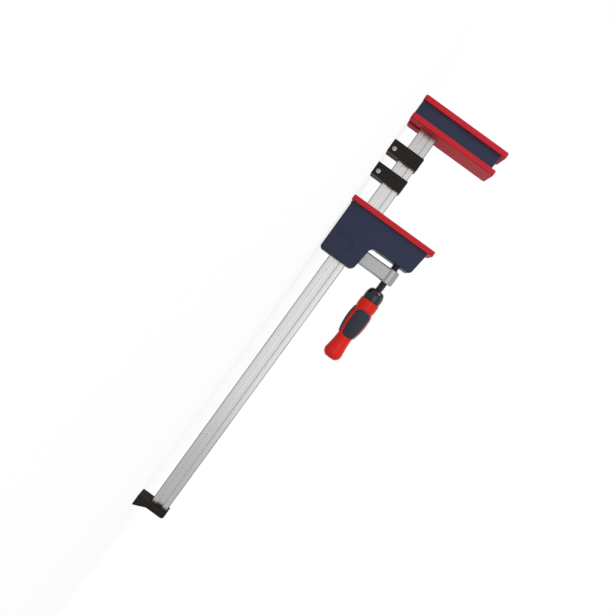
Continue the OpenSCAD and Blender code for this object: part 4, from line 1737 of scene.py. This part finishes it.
@dataclass
class RailSupport(SubAssembly):
    """A black block that clips on the rail and keeps the work off it."""

    rail_gap: float = 0.3
    pinch_half_width: float = 0.6
    leaf_thickness: float = 0.8
    leaf_gap: float = 0.2
    leaf_inset: float = 0.5
    leaf_margin: float = 2.0
    corner_radius: float = 2.0
    rim_radius: float = 0.8
    screw_radius: float = 2.0
    screw_gap: float = 0.2
    tip_edge: float = 0.4
    head_radius: float = 3.6
    head_depth: float = 2.0
    head_dome: Profile = ((0, -0.7), (0.25, -0.2), (0.6, 0))
    nut_depth: float = 3.5
    recess: CrossRecess = CrossRecess(1.2)

    def _block(self, box: Extent, screw: Extent) -> Shape:
        """Builds the block with its window, pinch slot and screw pockets.

        Args:
            box: Box of the support.
            screw: Box of its screw.

        Returns:
            The block.
        """
        rail = extents("rail")[0]
        low, high = box.low.x, box.high.x
        through = (low - PAST, high + PAST)
        bottom = rail.low.z - self.rail_gap
        slot = bottom - self.leaf_thickness - self.leaf_gap
        leaf = (low + self.leaf_margin, high - self.leaf_margin)
        centre = Vector((screw.middle.x, 0, screw.middle.z))
        side = Vector((0, box.high.y, 0))
        pocket, shank = self.head_radius + self.screw_gap, self.screw_radius + self.screw_gap
        body = Shape.block(box.low, box.high)
        body.eased(self.corner_radius, parallel_to(Axis.X), segments=5)
        body.eased(self.rim_radius, on_plane(Axis.X, low, high))
        return body.cut(
            rail_passage(through, self.rail_gap),
            Shape.slab(through, self.pinch_half_width, (-PAST, bottom + PAST)),
            Shape.slab(leaf, rail.high.y - self.leaf_inset, (slot, bottom + PAST)),
            Shape.rod(Axis.Y, centre, shank, box.size.y + 2 * PAST, sides=32),
            Shape.rod(Axis.Y, centre - side, pocket, 2 * self.head_depth, sides=40),
            Shape.rod(Axis.Y, centre + side, pocket, 2 * self.nut_depth, sides=6),
        )

    def _pinch_screw(self, screw: Extent) -> Shape:
        """Builds the pinch screw with a rounded head and a cross recess.

        Args:
            screw: Box of the screw.

        Returns:
            The screw.
        """
        head, shank, length = self.head_radius, self.screw_radius, screw.size.y
        centre = (screw.middle.x, screw.low.y, screw.middle.z)
        profile = [
            (0, 0),
            *((past, head + step) for past, step in self.head_dome),
            *((self.head_depth, head), (self.head_depth, shank)),
            *((length - self.tip_edge, shank), (length, shank - self.tip_edge), (length, 0)),
        ]
        shape = Shape.turned(Axis.Y, centre, profile, steps=40)
        return shape.cut(*self.recess.bars(Axis.Y, centre))

    def build(self) -> None:
        """Builds the block and its screw, and dresses leaf and nut."""
        name = self.body.value
        number = name[-1]
        box, screw = extents(name, f"{name}_screw")
        self.place(f"support_block_{number}", self._block(box, screw), Slot.BLACK_PLASTIC, name)
        pinch_screw = (self._pinch_screw(screw), Slot.BRIGHT_STEEL, f"{name}_screw")
        self.place(f"support_pinch_screw_{number}", *pinch_screw)
        self.dress(Slot.BRIGHT_STEEL, f"{name}_spring", f"{name}_nut")


@dataclass
class EndCap(SubAssembly):
    """The black cap on the rail's free end, with its wedge-shaped foot."""

    thickness: float = 11.0
    foot_height: float = 21.0
    toe: float = 2.0
    front_radius: float = 5.0
    edge_radius: float = 1.2
    clearance: float = 0.2
    pin_radius: float = 1.5

    def build(self) -> None:
        """Builds the cap."""
        box, rail, pin = extents("end_cap", "rail", "end_cap_pin")
        low, out, high = box.low.x, box.low.x + self.thickness, box.high.x
        bottom, top = box.low.z, box.high.z
        foot = [(low, bottom), (high, bottom), (high, bottom + self.toe), (out, self.foot_height)]
        cap = Shape.prism([*foot, (out, top), (low, top)], box.size.y / 2)
        cap.eased(self.front_radius, on_plane(Axis.X, out), on_plane(Axis.Z, top), segments=6)
        cap.eased(self.edge_radius, segments=4)
        centre = (pin.middle.x, 0, pin.middle.z)
        cap.cut(
            rail_passage((low - PAST, rail.high.x + self.clearance), self.clearance),
            Shape.bore(Axis.Y, centre, self.pin_radius, box.size.y, sides=24),
        )
        self.place("rail_end_cap", cap, Slot.BLACK_PLASTIC, "end_cap")


@dataclass(frozen=True)
class Softbox:
    """A square soft lamp, with its place and side in metres and its power in watts."""

    name: str
    place: Point
    side: float
    power: float

    def hang(self, aim: Point) -> None:
        """Hangs the lamp so that it faces a point.

        Args:
            aim: The point.
        """
        data = bpy.data.lights.new(self.name, "AREA")
        data.size = self.side
        data.energy = self.power
        facing = Vector(aim) - Vector(self.place)
        turn = facing.to_track_quat("-Z", "Y").to_matrix().to_4x4()
        linked(self.name, data).matrix_world = Matrix.Translation(self.place) @ turn


@dataclass(frozen=True)
class Studio:
    """Pale floor, soft lights and the camera at the photograph's angle, in metres."""

    floor_span: float = 8.0
    floor_grey: float = 0.82
    world_grey: float = 0.42
    floor_glow: float = 1.07
    seen_share: float = 0.75
    shadow_reach: float = 0.5
    shadow_end: float = 1.3
    lit_middle: Point = (0.0, 0.0, 0.05)
    lamps: tuple[Softbox, ...] = (
        Softbox("key_softbox", (-1.9, -0.9, 1.15), 1.1, 26.0),
        Softbox("front_softbox", (0.05, -2.6, 0.8), 2.4, 28.0),
        Softbox("overhead_softbox", (0.0, 0.0, 2.6), 2.4, 8.0),
        Softbox("back_softbox", (1.2, 2.4, 1.2), 2.0, 14.0),
    )
    target: Point = (-0.03075, 0.0, 0.0425)
    distance: float = 0.7218
    swing: float = 4.3
    roll: float = 53.93
    lens: float = 27.7
    sensor: float = 36.0
    clip_start: float = 0.01

    @staticmethod
    def _seen(paint: Paint) -> Signal:
        """1 for rays of the camera, of mirrors and of glass, otherwise 0.

        Args:
            paint: The material or world.

        Returns:
            The signal.
        """
        path = paint.node("LightPath").outputs
        rays = ("Is Camera Ray", "Is Glossy Ray", "Is Transmission Ray")
        camera, glossy, through = (Signal(paint, path[name]) for name in rays)
        return camera + glossy + through

    def _floor(self) -> None:
        """Lays the floor, which shows the camera a pale shadow and far off only white."""
        shape = Shape()
        half = self.floor_span / 2
        bmesh.ops.create_grid(shape.mesh, x_segments=8, y_segments=8, size=half)
        floor = shape.as_object("studio_floor")
        paint = Paint(bpy.data.materials.new("studio_floor"))
        grey = (self.floor_grey, self.floor_grey, self.floor_grey, 1.0)
        lit = paint.node("BsdfDiffuse", {}, {"Color": grey})
        white = paint.node("Emission", {}, {"Strength": self.floor_glow})
        far = paint.signal("Value", "VectorMath", {"operation": "LENGTH"}, {0: paint.place()})
        fade = paint.rise(far, self.shadow_reach, self.shadow_end, self.seen_share)
        share = self._seen(paint) * fade
        ends = {1: lit.outputs[0], 2: white.outputs[0]}
        mixed = paint.node("MixShader", {}, {0: share, **ends})
        paint.node("OutputMaterial", {}, {"Surface": mixed.outputs[0]})
        floor.data.materials.append(paint.owner)

    def _world(self) -> None:
        """Sets a pale world that the camera and mirrors see as white."""
        paint = Paint(bpy.data.worlds.new("studio_world"))
        strength = self.world_grey + self._seen(paint) * (1 - self.world_grey)
        sky = paint.node("Background", {}, {"Color": (1, 1, 1, 1), "Strength": strength})
        paint.node("OutputWorld", {}, {"Surface": sky.outputs[0]})
        bpy.context.scene.world = paint.owner

    def _camera(self) -> None:
        """Sets the camera to the photograph's viewing angle."""
        swing, roll = math.radians(self.swing), math.radians(self.roll)
        forward = Vector((math.sin(swing), math.cos(swing), 0))
        down_rail = Vector((-math.cos(swing), math.sin(swing), 0))
        tips = Vector((0, 0, 1))
        right = math.sin(roll) * tips + math.cos(roll) * down_rail
        up = -math.cos(roll) * tips + math.sin(roll) * down_rail
        data = bpy.data.cameras.new("photo_camera")
        data.lens = self.lens
        data.sensor_width = self.sensor
        data.clip_start = self.clip_start
        turn = Matrix((right, up, -forward)).transposed().to_4x4()
        place = Vector(self.target) - self.distance * forward
        camera = linked("photo_camera", data)
        camera.matrix_world = Matrix.Translation(place) @ turn
        bpy.context.scene.camera = camera

    def build(self) -> None:
        """Sets up floor, world, lamps and camera."""
        self._floor()
        self._world()
        for lamp in self.lamps:
            lamp.hang(self.lit_middle)
        self._camera()
        bpy.context.scene.view_settings.view_transform = "Standard"


def main() -> None:
    """Builds every sub-assembly around the frame."""
    logging.basicConfig(level=logging.INFO, format="%(message)s", stream=sys.stdout)
    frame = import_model()
    bench = Bench(frame)
    groups = (
        RailBar(bench, Body.RAIL),
        FixedJaw(bench, Body.RAIL, "fixed"),
        SlidingJaw(bench, Body.SLIDING_JAW, "sliding"),
        SlideArm(bench, Body.SLIDE_ARM),
        ScrewHandle(bench, Body.SPINDLE),
        RailSupport(bench, Body.SUPPORT_1),
        RailSupport(bench, Body.SUPPORT_2),
        EndCap(bench, Body.RAIL),
    )
    for group in groups:
        LOG.info("building %s", type(group).__name__)
        group.build()
    Studio().build()


if __name__ == "__main__":
    main()
